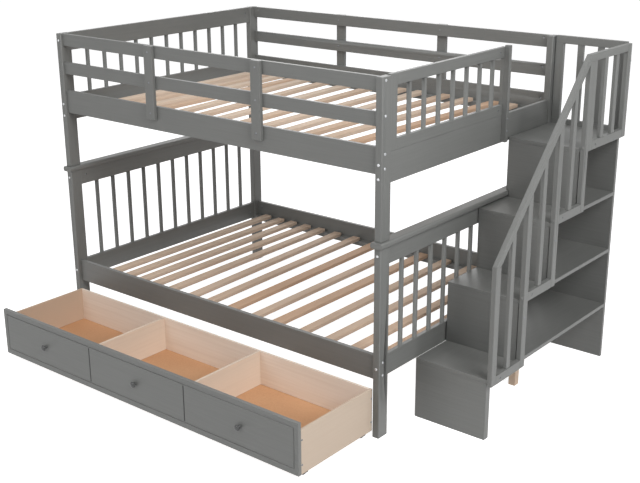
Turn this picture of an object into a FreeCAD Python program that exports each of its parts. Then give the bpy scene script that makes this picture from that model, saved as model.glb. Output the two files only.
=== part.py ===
"""Bunk bed with storage stairs: two slatted beds, open-shelf stairs and a drawer on castors.

X runs along the bed from the head end to the stairs, Y from the front to the rear, Z up.
Spans are written from the outer corner of the front head post; the origin is the middle of
the foot of that post. The drawer is drawn pulled out.
"""
import FreeCAD, Part
import Sketcher
import math
import os
import re

from FreeCAD import Placement, Rotation, Vector

doc = FreeCAD.newDocument("StairBunkBed")

# Driving dimensions in millimetres.
SIZES = {
    # Posts, with the rail that caps the lower ones at each end.
    "bed_length": 2000,
    "bed_width": 1440,
    "bed_height": 1566,
    "post_thick": 34,
    "post_depth": 64,
    "post_round": 4,
    "lower_post_height": 864,
    "cap_thick": 26,
    "cap_overhang": 12,
    "cap_round": 9,
    "pin_radius": 5,
    "pin_depth": 25,
    "pin_play": 0.1,
    # Long rails of the upper bed.
    "rail_thick": 18,
    "rail_setback": 12,
    "guard_rail_height": 59,
    "guard_gap": 81.5,
    "side_rail_height": 114,
    # Long rails of the lower bed.
    "lower_rail_thick": 20,
    "lower_rail_setback": 16,
    "lower_rail_height": 112,
    "under_bed": 267,
    # Upright boards on the long guards.
    "guard_board_width": 54,
    "guard_board_thick": 18,
    "guard_board_lap": 63,
    # Slats and the ledgers they lie on.
    "ledger_height": 27,
    "ledger_width": 30,
    "slat_width": 48,
    "broad_slat_width": 58,
    "slat_thick": 18,
    "slat_end_inset": 49,
    "upper_slat_first": 149,
    "upper_slat_last": 89,
    "lower_slat_first": 138,
    "lower_slat_last": 110,
    # End panels.
    "end_setback": 7,
    "end_board_thick": 20,
    "end_top_height": 81,
    "end_bottom_height": 97,
    "end_bottom_lift": 280,
    "baluster_side": 16,
    "head_rail_height": 87,
    "cross_board_height": 129,
    "cross_board_drop": 41,
    # Guard beside the way in from the stairs.
    "entry_guard_height": 311,
    "entry_rail_height": 48,
    "entry_stile_width": 46,
    "entry_end_stile_width": 17,
    "entry_setback": 46,
    "entry_first_baluster": 93,
    "entry_last_baluster": 84,
    "edge_board_thick": 22,
    "edge_board_depth": 25,
    "edge_board_lap": 17,
    "edge_board_lift": 4,
    "edge_board_rise": 8,
    # Stairs.
    "stair_rise": 286.5,
    "stair_run": 241,
    "stair_start": 274,
    "stair_board": 18,
    "first_riser_thick": 33,
    "riser_width": 360,
    "tread_width": 365,
    "stair_back_inset": 43,
    "notch_play": 1,
    "leg_width": 35,
    "leg_depth": 36,
    "leg_from_bed": 165,
    "leg_from_front": 543,
    # Railing of the stairs.
    "stair_rail_thick": 22,
    "stile_lead": 6,
    "stile_width": 37,
    "twin_stile_width": 34,
    "bottom_rail_height": 40,
    "first_rail_lap": 27.5,
    "rail_lap": 8,
    "platform_rail_lap": 15,
    "baluster_width": 30,
    "baluster_thick": 17,
    "handrail_start": 509.5,
    "handrail_height": 420,
    "handrail_plumb": 44.5,
    "handrail_flat": 33,
    "end_post_width": 37,
    "end_post_overrun": 7,
    # Guard behind the stair platform.
    "rear_guard_gap": 4,
    "rear_guard_thick": 20,
    "rear_guard_height": 425,
    "rear_guard_top_height": 37,
    "rear_stile_width": 42,
    # Drawer.
    "drawer_out": 485,
    "drawer_floor_gap": 26,
    "drawer_top_gap": 5,
    "drawer_side_gap": 4,
    "drawer_front_thick": 18,
    "drawer_depth": 473,
    "drawer_box_inset": 1.5,
    "drawer_board": 12,
    "drawer_side_height": 200,
    "drawer_bottom_thick": 3,
    "drawer_bottom_lift": 28,
    "groove_depth": 4,
    "groove_play": 0.2,
    "bead_width": 8,
    "bead_depth": 4,
    "end_bead_inset": 24,
    "low_bead_height": 28,
    "high_bead_drop": 25,
    "knob_radius": 14,
    "knob_reach": 22,
    "knob_swell": 8,
    "knob_stem_radius": 7,
    # Castors of the drawer.
    "wheel_radius": 18,
    "wheel_width": 14,
    "wheel_round": 2,
    "wheel_inset": 8.5,
    "wheel_from_end": 43,
    "axle_radius": 3,
    "axle_play": 0.05,
    "fork_cheek": 3,
    "fork_play": 1,
    "fork_length": 30,
    "fork_below_axle": 7,
    # Bolts, cross nuts and screws.
    "bolt_radius": 3,
    "bolt_head_radius": 7,
    "bolt_head_thick": 2.5,
    "bolt_tail": 8,
    "bolt_play": 0.25,
    "nut_radius": 5,
    "nut_length": 15,
    "nut_reach": 34,
    "nut_play": 0.2,
    "thread_play": 0.05,
    "wide_rail_bolt": 27,
    "guard_rail_bolt": 14,
    "end_board_bolt": 34,
    "low_board_bolt": 44,
    "cross_bolt_low": 25,
    "cross_bolt_high": 84,
    "screw_radius": 2,
    "screw_head_radius": 4.5,
    "screw_head_thick": 2,
    "screw_bite": 14,
    "screw_play": 0.1,
    "low_screw_lift": 30,
    "edge_board_low_screw": 56,
    "edge_board_high_screw": 112,
    "riser_screw_drop": 60,
    "platform_screw_from_post": 77,
    "corner_screw_drop": 80,
    "drawer_low_screw": 43,
    "drawer_high_screw": 155,
}

# Pieces of a kind.
END_BALUSTERS = 11
ENTRY_BALUSTERS = 7
STEPS = 4
PLATFORM_BALUSTERS = 2
COMPARTMENTS = 3
KNOBS = 3

# The slats are laid by eye: how far apart they lie, from the head, and how many degrees askew.
UPPER_SLATS = (
    (111, 0.8), (98, 0.8), (107, 1.8), (107, 0), (135, 4), (136, 3.6), (147, 2.6), (142, 2.5),
    (132, 0.8), (136, 2), (124, 0), (144, -1.3), (135, -2), (108, 0.5), (0, 0),
)
LOWER_SLATS = (
    (107, 0.4), (103, 0.4), (105, 0.7), (115, 0.3), (136, 0.9), (131, 2), (151, 1.5), (159, 1.2),
    (143, 0.8), (159, 0), (157, 0.5), (149, 0), (137, 0), (0, 0),
)
BROAD_LOWER_SLATS = (7, 9)

# What follows from the driving dimensions.
RULES = {
    "cap_top": "lower_post_height + cap_thick",
    "post_inner": "bed_length - post_thick",
    "post_gap": "bed_width - 2 * post_depth",
    "guard_rail_low": "bed_height - guard_rail_height",
    "mid_rail_top": "guard_rail_low - guard_gap",
    "mid_rail_low": "mid_rail_top - guard_rail_height",
    "side_rail_top": "mid_rail_low - guard_gap",
    "side_rail_low": "side_rail_top - side_rail_height",
    "rail_inner": "rail_setback + rail_thick",
    "rail_centre": "rail_setback + rail_thick / 2",
    "lower_rail_inner": "lower_rail_setback + lower_rail_thick",
    "lower_rail_centre": "lower_rail_setback + lower_rail_thick / 2",
    "lower_rail_top": "under_bed + lower_rail_height",
    "end_inner": "end_setback + end_board_thick",
    "end_centre": "end_setback + end_board_thick / 2",
    "baluster_pitch": f"post_gap / {END_BALUSTERS + 1}",
    "cross_board_low": "side_rail_low - cross_board_drop",
    "cross_board_top": "cross_board_low + cross_board_height",
    "entry_guard_top": "cross_board_top + entry_guard_height",
    "platform_front": f"stair_start + {STEPS - 1} * stair_run",
    "entry_guard_end": "platform_front - entry_setback",
    "entry_stile": "entry_guard_end - entry_end_stile_width",
    "back_panel": "bed_width - stair_back_inset - stair_board",
    "back_face": "bed_width - stair_back_inset",
    "platform_top": f"{STEPS} * stair_rise",
    "stair_side": "bed_length + tread_width",
    "rail_side": "stair_side + stair_rail_thick",
    "rail_start": "stair_start - stile_lead",
    "twin_stile": "platform_front - stile_lead",
    "platform_stile": "twin_stile + twin_stile_width",
    "platform_rail_start": "platform_stile + twin_stile_width",
    "end_post_rear": "back_face + end_post_overrun",
    "end_post": "end_post_rear - end_post_width",
    "handrail_top": "platform_top + handrail_height",
    "handrail_foot": "stair_rise + handrail_start",
    "handrail_slope": "(handrail_top - handrail_foot) / (twin_stile - rail_start)",
    "rear_guard_start": "bed_length + rear_guard_gap",
    "rear_guard_face": "back_face + rear_guard_thick",
    "rear_guard_top": "platform_top + rear_guard_height",
    "platform_rail_low": "platform_top - platform_rail_lap",
    "platform_rail_top": "platform_rail_low + bottom_rail_height",
    "drawer_start": "post_thick + drawer_side_gap",
    "drawer_end": "bed_length - drawer_start",
    "drawer_front_length": "drawer_end - drawer_start",
    "drawer_top": "under_bed - drawer_top_gap",
    "drawer_face": "0 - drawer_out",
    "drawer_box_front": "drawer_face + drawer_front_thick",
    "drawer_box_rear": "drawer_box_front + drawer_depth",
    "box_start": "drawer_start + drawer_box_inset",
    "box_inner": "box_start + drawer_board",
    "box_top": "drawer_floor_gap + drawer_side_height",
    "bottom_low": "drawer_floor_gap + drawer_bottom_lift",
    "bottom_top": "bottom_low + drawer_bottom_thick",
    "compartment": f"(bed_length - 2 * box_inner - {COMPARTMENTS - 1} * drawer_board) / {COMPARTMENTS}",
    "wheel_outer": "box_inner + wheel_inset",
    "wheel_inner": "wheel_outer + wheel_width",
}

# The spreadsheet holds each driving dimension beside its name.
sheet = doc.addObject("Spreadsheet::Sheet", "Dimensions")
for row, (alias, value) in enumerate(SIZES.items(), start=1):
    sheet.set(f"A{row}", alias)
    sheet.set(f"B{row}", str(value))
    sheet.setAlias(f"B{row}", alias)
doc.recompute()

WORD = re.compile(r"[a-z][a-z_]+[a-z]")


def formula(text):
    """Spell out the names of sizes and rules as cells of the spreadsheet."""
    def spelled(match):
        word = match.group(0)
        if word in RULES:
            return "(" + formula(RULES[word]) + ")"
        return "Dimensions." + word
    return WORD.sub(spelled, str(text))


def bind(thing, field, text):
    thing.setExpression(field, formula(text))


def place(thing, x, y, z):
    """Set a piece down by its corner, counted from the outer corner of the front head post."""
    bind(thing, "Placement.Base.x", f"({x}) - post_thick / 2")
    bind(thing, "Placement.Base.y", f"({y}) - post_depth / 2")
    bind(thing, "Placement.Base.z", z)


# Each node is made of its pieces, less the holes that its fasteners need.
pieces = {}
holes = {}


def add(node, piece):
    pieces.setdefault(node, []).append(piece)


def drill(node, hole):
    holes.setdefault(node, []).append(hole)


def numbered(node):
    return f"{node}_{len(pieces.get(node, [])) + 1}"


def block(label, x, y, z):
    """A plain block between two X, two Y and two Z places."""
    piece = doc.addObject("Part::Box", label)
    for field, (low, high) in zip(("Length", "Width", "Height"), (x, y, z)):
        bind(piece, field, f"({high}) - ({low})")
    place(piece, x[0], y[0], z[0])
    return piece


def board(node, x, y, z):
    """A sawn board or batten of a node."""
    add(node, block(numbered(node), x, y, z))


def moulded(node, x, y, z, edges, radius):
    """A board whose named long edges are rounded."""
    label = numbered(node)
    body = doc.addObject("PartDesign::Body", label)
    blank = body.newObject("PartDesign::AdditiveBox", label + "_blank")
    for field, (low, high) in zip(("Length", "Width", "Height"), (x, y, z)):
        bind(blank, field, f"({high}) - ({low})")
    doc.recompute()
    rounding = body.newObject("PartDesign::Fillet", label + "_rounding")
    rounding.Base = (blank, edges)
    bind(rounding, "Radius", radius)
    body.Tip = rounding
    place(body, x[0], y[0], z[0])
    add(node, body)


# Edges of a blank, by the way they run.
UPRIGHT_EDGES = ["Edge1", "Edge3", "Edge5", "Edge7"]
CROSSWISE_EDGES = ["Edge2", "Edge4", "Edge6", "Edge8"]

# Turns that lay a rod, drawn upright, along each way.
WAYS = {
    "+X": Rotation(Vector(0, 1, 0), 90),
    "-X": Rotation(Vector(0, 1, 0), -90),
    "+Y": Rotation(Vector(1, 0, 0), -90),
    "-Y": Rotation(Vector(1, 0, 0), 90),
    "+Z": Rotation(),
}


def onward(at, way, distance):
    """The point a distance further along a way."""
    point = list(at)
    axis = "XYZ".index(way[1])
    point[axis] = f"({point[axis]}) {way[0]} ({distance})"
    return tuple(point)


def rod(label, at, way, length, radius):
    """A round bar from a point along a way."""
    bar = doc.addObject("Part::Cylinder", label)
    bind(bar, "Height", length)
    bind(bar, "Radius", radius)
    bar.Placement = Placement(Vector(), WAYS[way])
    place(bar, *at)
    return bar


def sides(low, high, whole):
    """A span and its mirror image across the bed."""
    return (low, high), (f"{whole} - ({high})", f"{whole} - ({low})")


def outline(body, label, role, corners):
    """A closed outline on one of a body's own planes, with every corner held by the sheet."""
    sketch = body.newObject("Sketcher::SketchObject", label)
    plane = next(item for item in body.Origin.OriginFeatures if item.Role == role)
    sketch.AttachmentSupport = (plane, [""])
    sketch.MapMode = "FlatFace"
    trace(sketch, corners)
    return sketch


def trace(sketch, corners):
    """Add a closed run of straight lines to a sketch."""
    first = sketch.GeometryCount
    count = len(corners)
    spread = 100
    rough = [Rotation(Vector(0, 0, 1), 360 * turn / count).multVec(Vector(spread, 0, 0))
             for turn in range(count)]
    for turn in range(count):
        sketch.addGeometry(Part.LineSegment(rough[turn], rough[(turn + 1) % count]))
    for turn in range(count):
        following = first + (turn + 1) % count
        sketch.addConstraint(Sketcher.Constraint("Coincident", first + turn, 2, following, 1))
    for turn, (across, up) in enumerate(corners):
        for kind, where, start in (("DistanceX", across, rough[turn].x), ("DistanceY", up, rough[turn].y)):
            held = sketch.addConstraint(Sketcher.Constraint(kind, first + turn, 1, start))
            bind(sketch, f"Constraints[{held}]", where)


def slab(node, role, corners, thick, away, x, y, z):
    """A board sawn to an outline; `away` says whether it thickens against the plane's own way."""
    label = numbered(node)
    body = doc.addObject("PartDesign::Body", label)
    pad = body.newObject("PartDesign::Pad", label + "_pad")
    pad.Profile = outline(body, label + "_outline", role, corners)
    bind(pad, "Length", thick)
    pad.Reversed = away
    body.Tip = pad
    place(body, x, y, z)
    return body


# ---- Posts, caps and pins ----

FRONT_AND_REAR_POSTS = sides("0", "post_depth", "bed_width")
HEAD_AND_FOOT_POSTS = sides("0", "post_thick", "bed_length")

for post_x in HEAD_AND_FOOT_POSTS:
    for post_y in FRONT_AND_REAR_POSTS:
        moulded("lower_posts", post_x, post_y, ("0", "lower_post_height"),
                UPRIGHT_EDGES, "post_round")
        moulded("upper_posts", post_x, post_y, ("cap_top", "bed_height"),
                UPRIGHT_EDGES, "post_round")

CAPS = sides("0 - cap_overhang", "post_thick + cap_overhang", "bed_length")
CAP_LENGTH = ("0 - cap_overhang", "bed_width + cap_overhang")
for cap, cap_x in zip(("cap_rail_head", "cap_rail_foot"), CAPS):
    moulded(cap, cap_x, CAP_LENGTH, ("lower_post_height", "cap_top"), CROSSWISE_EDGES, "cap_round")
    pin_x = "post_thick / 2" if cap == "cap_rail_head" else "bed_length - post_thick / 2"
    for pin_y in ("post_depth / 2", "bed_width - post_depth / 2"):
        foot = (pin_x, pin_y, "lower_post_height - pin_depth")
        pin_length = "cap_thick + 2 * pin_depth"
        add("post_pins", rod(numbered("post_pins"), foot, "+Z", pin_length, "pin_radius"))
        socket = rod("pin_hole", foot, "+Z", pin_length, "pin_radius + pin_play")
        for node in ("lower_posts", cap, "upper_posts"):
            drill(node, socket)


def bolted(post, member, at, way, grip, nut_face, nut_way):
    """A bolt through a post into the end of a member, screwed into a cross nut there.

    The bolt enters at a point of the post's outer face and passes a grip of the post. The nut
    is let into the member from its inner face, which lies at nut_face across nut_way.
    """
    reach = f"{grip} + nut_reach + bolt_tail"
    backward = way.translate(str.maketrans("+-", "-+"))
    shanks.append(rod("bolt_shank", at, way, reach, "bolt_radius"))
    heads.append(rod("bolt_head", at, backward, "bolt_head_thick", "bolt_head_radius"))
    passage = rod("bolt_hole", at, way, f"{reach} + bolt_play", "bolt_radius + bolt_play")
    drill(post, passage)
    drill(member, passage)
    nut_at = list(onward(at, way, f"{grip} + nut_reach"))
    nut_at["XYZ".index(nut_way[1])] = nut_face
    add("barrel_nuts", rod(numbered("barrel_nuts"), nut_at, nut_way, "nut_length", "nut_radius"))
    drill("barrel_nuts", rod("nut_thread", at, way, reach, "bolt_radius + thread_play"))
    drill(member, rod("nut_hole", nut_at, nut_way, "nut_length + nut_play", "nut_radius + nut_play"))


def screwed(head_at, way, length, *members):
    """A wood screw driven flat on a face, through one member into the next."""
    backward = way.translate(str.maketrans("+-", "-+"))
    node = "drawer_screws" if members[0].startswith("drawer") else "frame_screws"
    screw = doc.addObject("Part::MultiFuse", numbered(node))
    screw.Shapes = [
        rod("screw_shank", head_at, way, length, "screw_radius"),
        rod("screw_head", head_at, backward, "screw_head_thick", "screw_head_radius"),
    ]
    add(node, screw)
    pilot = rod("screw_hole", head_at, way, f"{length} + screw_play", "screw_radius + screw_play")
    for member in members:
        drill(member, pilot)


shanks = []
heads = []


# ---- Long rails ----

RAIL_LENGTH = ("post_thick", "post_inner")
UPPER_RAILS = sides("rail_setback", "rail_inner", "bed_width")
LOWER_RAILS = sides("lower_rail_setback", "lower_rail_inner", "bed_width")
GUARD_RAIL = ("guard_rail_low", "bed_height")
MID_RAIL = ("mid_rail_low", "mid_rail_top")
SIDE_RAIL = ("side_rail_low", "side_rail_top")
LOWER_RAIL = ("under_bed", "lower_rail_top")

board("top_rail_front", RAIL_LENGTH, UPPER_RAILS[0], GUARD_RAIL)
board("top_rail_rear", RAIL_LENGTH, UPPER_RAILS[1], GUARD_RAIL)
board("side_rail_front", RAIL_LENGTH, UPPER_RAILS[0], SIDE_RAIL)
board("side_rail_rear", RAIL_LENGTH, UPPER_RAILS[1], SIDE_RAIL)
for rail_y in UPPER_RAILS:
    board("mid_rails", RAIL_LENGTH, rail_y, MID_RAIL)
for rail_y in LOWER_RAILS:
    board("lower_side_rails", RAIL_LENGTH, rail_y, LOWER_RAIL)

# Bolts enter both ends of each rail through the end faces of the posts.
UPPER_CENTRES = ("rail_centre", "bed_width - rail_centre")
LOWER_CENTRES = ("lower_rail_centre", "bed_width - lower_rail_centre")
UPPER_FACES = ("rail_inner", "bed_width - rail_inner")
LOWER_FACES = ("lower_rail_inner", "bed_width - lower_rail_inner")
for side, nut_way in enumerate(("-Y", "+Y")):
    top_rail = ("top_rail_front", "top_rail_rear")[side]
    side_rail = ("side_rail_front", "side_rail_rear")[side]
    upper = (UPPER_CENTRES[side], UPPER_FACES[side])
    lower = (LOWER_CENTRES[side], LOWER_FACES[side])
    rail_bolts = [
        ("upper_posts", top_rail, upper, "bed_height - guard_rail_bolt"),
        ("upper_posts", "mid_rails", upper, "mid_rail_top - guard_rail_bolt"),
        ("upper_posts", side_rail, upper, "side_rail_top - wide_rail_bolt"),
        ("upper_posts", side_rail, upper, "side_rail_low + wide_rail_bolt"),
        ("lower_posts", "lower_side_rails", lower, "lower_rail_top - wide_rail_bolt"),
        ("lower_posts", "lower_side_rails", lower, "under_bed + wide_rail_bolt"),
    ]
    for post, rail, (centre, face), height in rail_bolts:
        for end, way in (("0", "+X"), ("bed_length", "-X")):
            bolted(post, rail, (end, centre, height), way, "post_thick", face, nut_way)

# Two upright boards on each long guard, outside the rails at the thirds of the bed.
GUARD_BOARD = ("side_rail_top - guard_board_lap", "bed_height")
GUARD_BOARD_ROWS = sides("rail_setback - guard_board_thick", "rail_setback", "bed_width")
SCREW_HEIGHTS = (
    ("bed_height - guard_rail_height / 2", ("top_rail_front", "top_rail_rear")),
    ("mid_rail_top - guard_rail_height / 2", ("mid_rails", "mid_rails")),
    ("side_rail_top - guard_board_lap + low_screw_lift", ("side_rail_front", "side_rail_rear")),
)
for third in (1, 2):
    middle = f"{third} * bed_length / 3"
    width = (f"{middle} - guard_board_width / 2", f"{middle} + guard_board_width / 2")
    for row_y in GUARD_BOARD_ROWS:
        board("guard_boards", width, row_y, GUARD_BOARD)
    for height, (front_rail, rear_rail) in SCREW_HEIGHTS:
        outside = (middle, "rail_setback - guard_board_thick", height)
        screwed(outside, "+Y", "guard_board_thick + screw_bite", "guard_boards", front_rail)
        inside = (middle, "bed_width - rail_inner", height)
        screwed(inside, "+Y", "rail_thick + screw_bite", "guard_boards", rear_rail)


# ---- Ledgers and slats ----

LEDGERS = (
    (sides("rail_inner", "rail_inner + ledger_width", "bed_width"), "side_rail_low"),
    (sides("lower_rail_inner", "lower_rail_inner + ledger_width", "bed_width"), "under_bed"),
)
for rows, low in LEDGERS:
    for row_y in rows:
        board("slat_ledgers", RAIL_LENGTH, row_y, (low, f"{low} + ledger_height"))

SLAT_LENGTH = ("slat_end_inset", "bed_width - slat_end_inset")


def laid_slats(node, rows, broad, start, rest, ledger_low):
    """The slats of one bed, each a little askew, between the first one and the last."""
    low = f"{ledger_low} + ledger_height"
    run = sum(apart for apart, askew in rows)
    passed = 0
    for count, (apart, askew) in enumerate(rows):
        width = "broad_slat_width" if count in broad else "slat_width"
        middle = f"{start} + {passed / run} * (bed_length - {start} - {rest})"
        slat = block(numbered(node), ("0", width), SLAT_LENGTH, (low, f"{low} + slat_thick"))
        slat.Placement = Placement(Vector(), Rotation(Vector(0, 0, 1), askew))
        turned = f"{math.cos(math.radians(askew)):.6f}"
        leaning = f"{math.sin(math.radians(askew)):.6f}"
        half = f"({SLAT_LENGTH[1]} - {SLAT_LENGTH[0]}) / 2"
        place(slat, f"{middle} - {width} / 2 * {turned} + {half} * {leaning}",
              f"bed_width / 2 - {half} * {turned} - {width} / 2 * {leaning}", low)
        add(node, slat)
        passed += apart


laid_slats("slats_upper", UPPER_SLATS, (), "upper_slat_first", "upper_slat_last", "side_rail_low")
laid_slats("slats_lower", LOWER_SLATS, BROAD_LOWER_SLATS, "lower_slat_first", "lower_slat_last",
           "under_bed")


# ---- End panels ----

END_LENGTH = ("post_depth", "bed_width - post_depth")
END_BOARDS = sides("end_setback", "end_inner", "bed_length")
END_CENTRES = ("end_centre", "bed_length - end_centre")
END_FACES = ("end_inner", "bed_length - end_inner")
END_TOP = ("lower_post_height - end_top_height", "lower_post_height")
END_BOTTOM = ("end_bottom_lift", "end_bottom_lift + end_bottom_height")
CROSS_BOARD = ("cross_board_low", "cross_board_top")
HEAD_RAIL = ("bed_height - head_rail_height", "bed_height")


def upright(node, centre_x, centre_y, z):
    """A square baluster on a centre line."""
    board(node, (f"{centre_x} - baluster_side / 2", f"{centre_x} + baluster_side / 2"),
          (f"{centre_y} - baluster_side / 2", f"{centre_y} + baluster_side / 2"), z)


for end_x, centre_x in zip(END_BOARDS, END_CENTRES):
    board("lower_end_top_boards", end_x, END_LENGTH, END_TOP)
    board("lower_end_bottom_boards", end_x, END_LENGTH, END_BOTTOM)
    for count in range(1, END_BALUSTERS + 1):
        upright("lower_end_balusters", centre_x, f"post_depth + {count} * baluster_pitch",
                (END_BOTTOM[1], END_TOP[0]))
board("head_top_rail", END_BOARDS[0], END_LENGTH, HEAD_RAIL)
board("head_cross_board", END_BOARDS[0], END_LENGTH, CROSS_BOARD)
board("foot_cross_board", END_BOARDS[1], END_LENGTH, CROSS_BOARD)
for count in range(1, END_BALUSTERS + 1):
    upright("head_balusters", END_CENTRES[0], f"post_depth + {count} * baluster_pitch",
            (CROSS_BOARD[1], HEAD_RAIL[0]))

# Bolts enter both ends of each board through the front and rear faces of the posts.
for end, nut_way in enumerate(("-X", "+X")):
    cross_board = ("head_cross_board", "foot_cross_board")[end]
    end_bolts = [
        ("lower_posts", "lower_end_top_boards", "lower_post_height - end_board_bolt"),
        ("lower_posts", "lower_end_bottom_boards", "end_bottom_lift + low_board_bolt"),
        ("upper_posts", cross_board, "cross_board_low + cross_bolt_low"),
        ("upper_posts", cross_board, "cross_board_low + cross_bolt_high"),
    ]
    if end == 0:
        end_bolts.append(("upper_posts", "head_top_rail", "bed_height - end_board_bolt"))
    for post, member, height in end_bolts:
        for face_y, way in (("0", "+Y"), ("bed_width", "-Y")):
            at = (END_CENTRES[end], face_y, height)
            bolted(post, member, at, way, "post_depth", END_FACES[end], nut_way)


# ---- Guard beside the way in ----

ENTRY_X = END_BOARDS[1]
ENTRY_BOTTOM = ("cross_board_top", "cross_board_top + entry_rail_height")
ENTRY_TOP = ("entry_guard_top - entry_rail_height", "entry_guard_top")
ENTRY_RAIL = ("post_depth + entry_stile_width", "entry_stile")
for rail_z in (ENTRY_BOTTOM, ENTRY_TOP):
    board("entry_guard_rails", ENTRY_X, ENTRY_RAIL, rail_z)
    bolt_at = (END_CENTRES[1], "entry_guard_end", f"{rail_z[0]} + entry_rail_height / 2")
    bolted("entry_guard_stiles", "entry_guard_rails", bolt_at, "-Y", "entry_end_stile_width",
           "bed_length - end_setback", "-X")
for stile_y in (("post_depth", ENTRY_RAIL[0]), ("entry_stile", "entry_guard_end")):
    board("entry_guard_stiles", ENTRY_X, stile_y, ("cross_board_top", "entry_guard_top"))
first_baluster = f"{ENTRY_RAIL[0]} + entry_first_baluster"
entry_pitch = f"(entry_stile - entry_last_baluster - ({first_baluster})) / {ENTRY_BALUSTERS - 1}"
for count in range(ENTRY_BALUSTERS):
    upright("entry_guard_balusters", END_CENTRES[1], f"{first_baluster} + {count} * {entry_pitch}",
            (ENTRY_BOTTOM[1], ENTRY_TOP[0]))

# A board on edge ties the guard to the cross board beside the way in.
EDGE_BOARD_FACE = "bed_length - end_setback"
EDGE_BOARD_START = "entry_guard_end - edge_board_lap"
board("entry_guard_edge_board", (EDGE_BOARD_FACE, f"{EDGE_BOARD_FACE} + edge_board_depth"),
      (EDGE_BOARD_START, f"{EDGE_BOARD_START} + edge_board_thick"),
      ("cross_board_low + edge_board_lift", "entry_guard_top + edge_board_rise"))
for lift in ("edge_board_low_screw", "edge_board_high_screw"):
    head_at = (f"{EDGE_BOARD_FACE} + edge_board_depth",
               f"{EDGE_BOARD_START} + edge_board_thick / 2", f"cross_board_low + {lift}")
    screwed(head_at, "-X", "edge_board_depth + screw_bite",
            "entry_guard_edge_board", "foot_cross_board")


# ---- Stairs ----

CAP_NOTCH = "cap_overhang + notch_play"
CAP_NOTCH_TOP = "cap_top + notch_play"
CAP_NOTCH_LOW = "lower_post_height - notch_play"
TREAD_X = ("bed_length", "stair_side")
RISER_X = ("bed_length", "bed_length + riser_width")


def riser_front(step):
    return f"stair_start + {step - 1} * stair_run"


def board_low(step):
    return f"{step} * stair_rise - stair_board"


# Three plain risers; the fourth is sawn out at its lower corner around the end of the cap rail.
board("riser_1", RISER_X, ("stair_start", "stair_start + first_riser_thick"), ("0", board_low(1)))
for step in range(2, STEPS):
    front = riser_front(step)
    board(f"riser_{step}", RISER_X, (front, f"{front} + stair_board"),
          (f"{step - 1} * stair_rise", board_low(step)))
top_riser_low = f"{STEPS - 1} * stair_rise"
top_riser_height = "stair_rise - stair_board"
notch_height = f"{CAP_NOTCH_TOP} - {top_riser_low}"
top_riser = [
    (CAP_NOTCH, "0"),
    ("riser_width", "0"),
    ("riser_width", top_riser_height),
    ("0", top_riser_height),
    ("0", notch_height),
    (CAP_NOTCH, notch_height),
]
add("riser_4", slab("riser_4", "XZ_Plane", top_riser, "stair_board", True,
                    "bed_length", riser_front(STEPS), top_riser_low))

# Each tread is a shelf that runs back to the panel behind the stairs; the platform covers it.
for step in range(1, STEPS):
    board(f"tread_{step}", TREAD_X, (riser_front(step), "back_panel"),
          (board_low(step), f"{step} * stair_rise"))
board("stair_platform", TREAD_X, ("platform_front", "back_face"), (board_low(STEPS), "platform_top"))
back_outline = [
    ("0", "0"),
    ("tread_width", "0"),
    ("tread_width", board_low(STEPS)),
    ("0", board_low(STEPS)),
    ("0", CAP_NOTCH_TOP),
    (CAP_NOTCH, CAP_NOTCH_TOP),
    (CAP_NOTCH, CAP_NOTCH_LOW),
    ("0", CAP_NOTCH_LOW),
]
add("stair_back_panel", slab("stair_back_panel", "XZ_Plane", back_outline, "stair_board", True,
                             "bed_length", "back_panel", "0"))
LEG_START = "bed_length + leg_from_bed"
LEG_FRONT = "stair_start + leg_from_front"
board("stair_leg", (LEG_START, f"{LEG_START} + leg_width"), (LEG_FRONT, f"{LEG_FRONT} + leg_depth"),
      ("0", board_low(1)))


# ---- Railing of the stairs ----

RAILING_X = ("stair_side", "rail_side")
BALUSTER_INSET = "(stair_rail_thick - baluster_thick) / 2"
BALUSTER_X = (f"stair_side + {BALUSTER_INSET}", f"rail_side - {BALUSTER_INSET}")


def stile_start(step):
    return f"rail_start + {step - 1} * stair_run"


def rail_low(step):
    lap = "first_rail_lap" if step == 1 else "rail_lap"
    return f"{step} * stair_rise - {lap}"


def underside(y):
    """Height of the sloped handrail's underside at a distance from the front."""
    return f"handrail_foot - handrail_plumb + handrail_slope * ({y} - rail_start)"


def sawn_upright(node, x, corners):
    """An upright of the railing, sawn to an outline seen from the side."""
    add(node, slab(node, "YZ_Plane", corners, f"({x[1]}) - ({x[0]})", False, x[0], "0", "0"))


FLAT_LOW = "handrail_top - handrail_flat"
BEND = f"rail_start + ({FLAT_LOW} - handrail_foot + handrail_plumb) / handrail_slope"
STILE_END = "rail_start + stile_width"
handrail = [
    ("rail_start", "handrail_foot"),
    ("twin_stile", "handrail_top"),
    ("end_post", "handrail_top"),
    ("end_post", FLAT_LOW),
    (BEND, FLAT_LOW),
    (STILE_END, underside(STILE_END)),
]
add("handrail", slab("handrail", "YZ_Plane", handrail, "stair_rail_thick", False,
                     "stair_side", "0", "0"))

# The lowest stile meets the handrail in a mitre.
sawn_upright("stair_rail_stiles", RAILING_X, [
    ("rail_start", rail_low(1)),
    (STILE_END, rail_low(1)),
    (STILE_END, underside(STILE_END)),
    ("rail_start", "handrail_foot"),
])
for step in range(2, STEPS):
    start = stile_start(step)
    end = f"{start} + stile_width"
    sawn_upright("stair_rail_stiles", RAILING_X, [
        (start, rail_low(step - 1)),
        (end, rail_low(step - 1)),
        (end, underside(end)),
        (start, underside(start)),
    ])
# The top stile stands under the bend, beside the first stile of the platform.
sawn_upright("stair_rail_stiles", RAILING_X, [
    ("twin_stile", rail_low(STEPS - 1)),
    ("platform_stile", rail_low(STEPS - 1)),
    ("platform_stile", FLAT_LOW),
    (BEND, FLAT_LOW),
    ("twin_stile", underside("twin_stile")),
])
board("stair_rail_stiles", RAILING_X, ("platform_stile", "platform_rail_start"),
      ("platform_rail_low", FLAT_LOW))
board("stair_rail_stiles", RAILING_X, ("end_post", "end_post_rear"),
      ("platform_rail_low", "handrail_top"))

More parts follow.
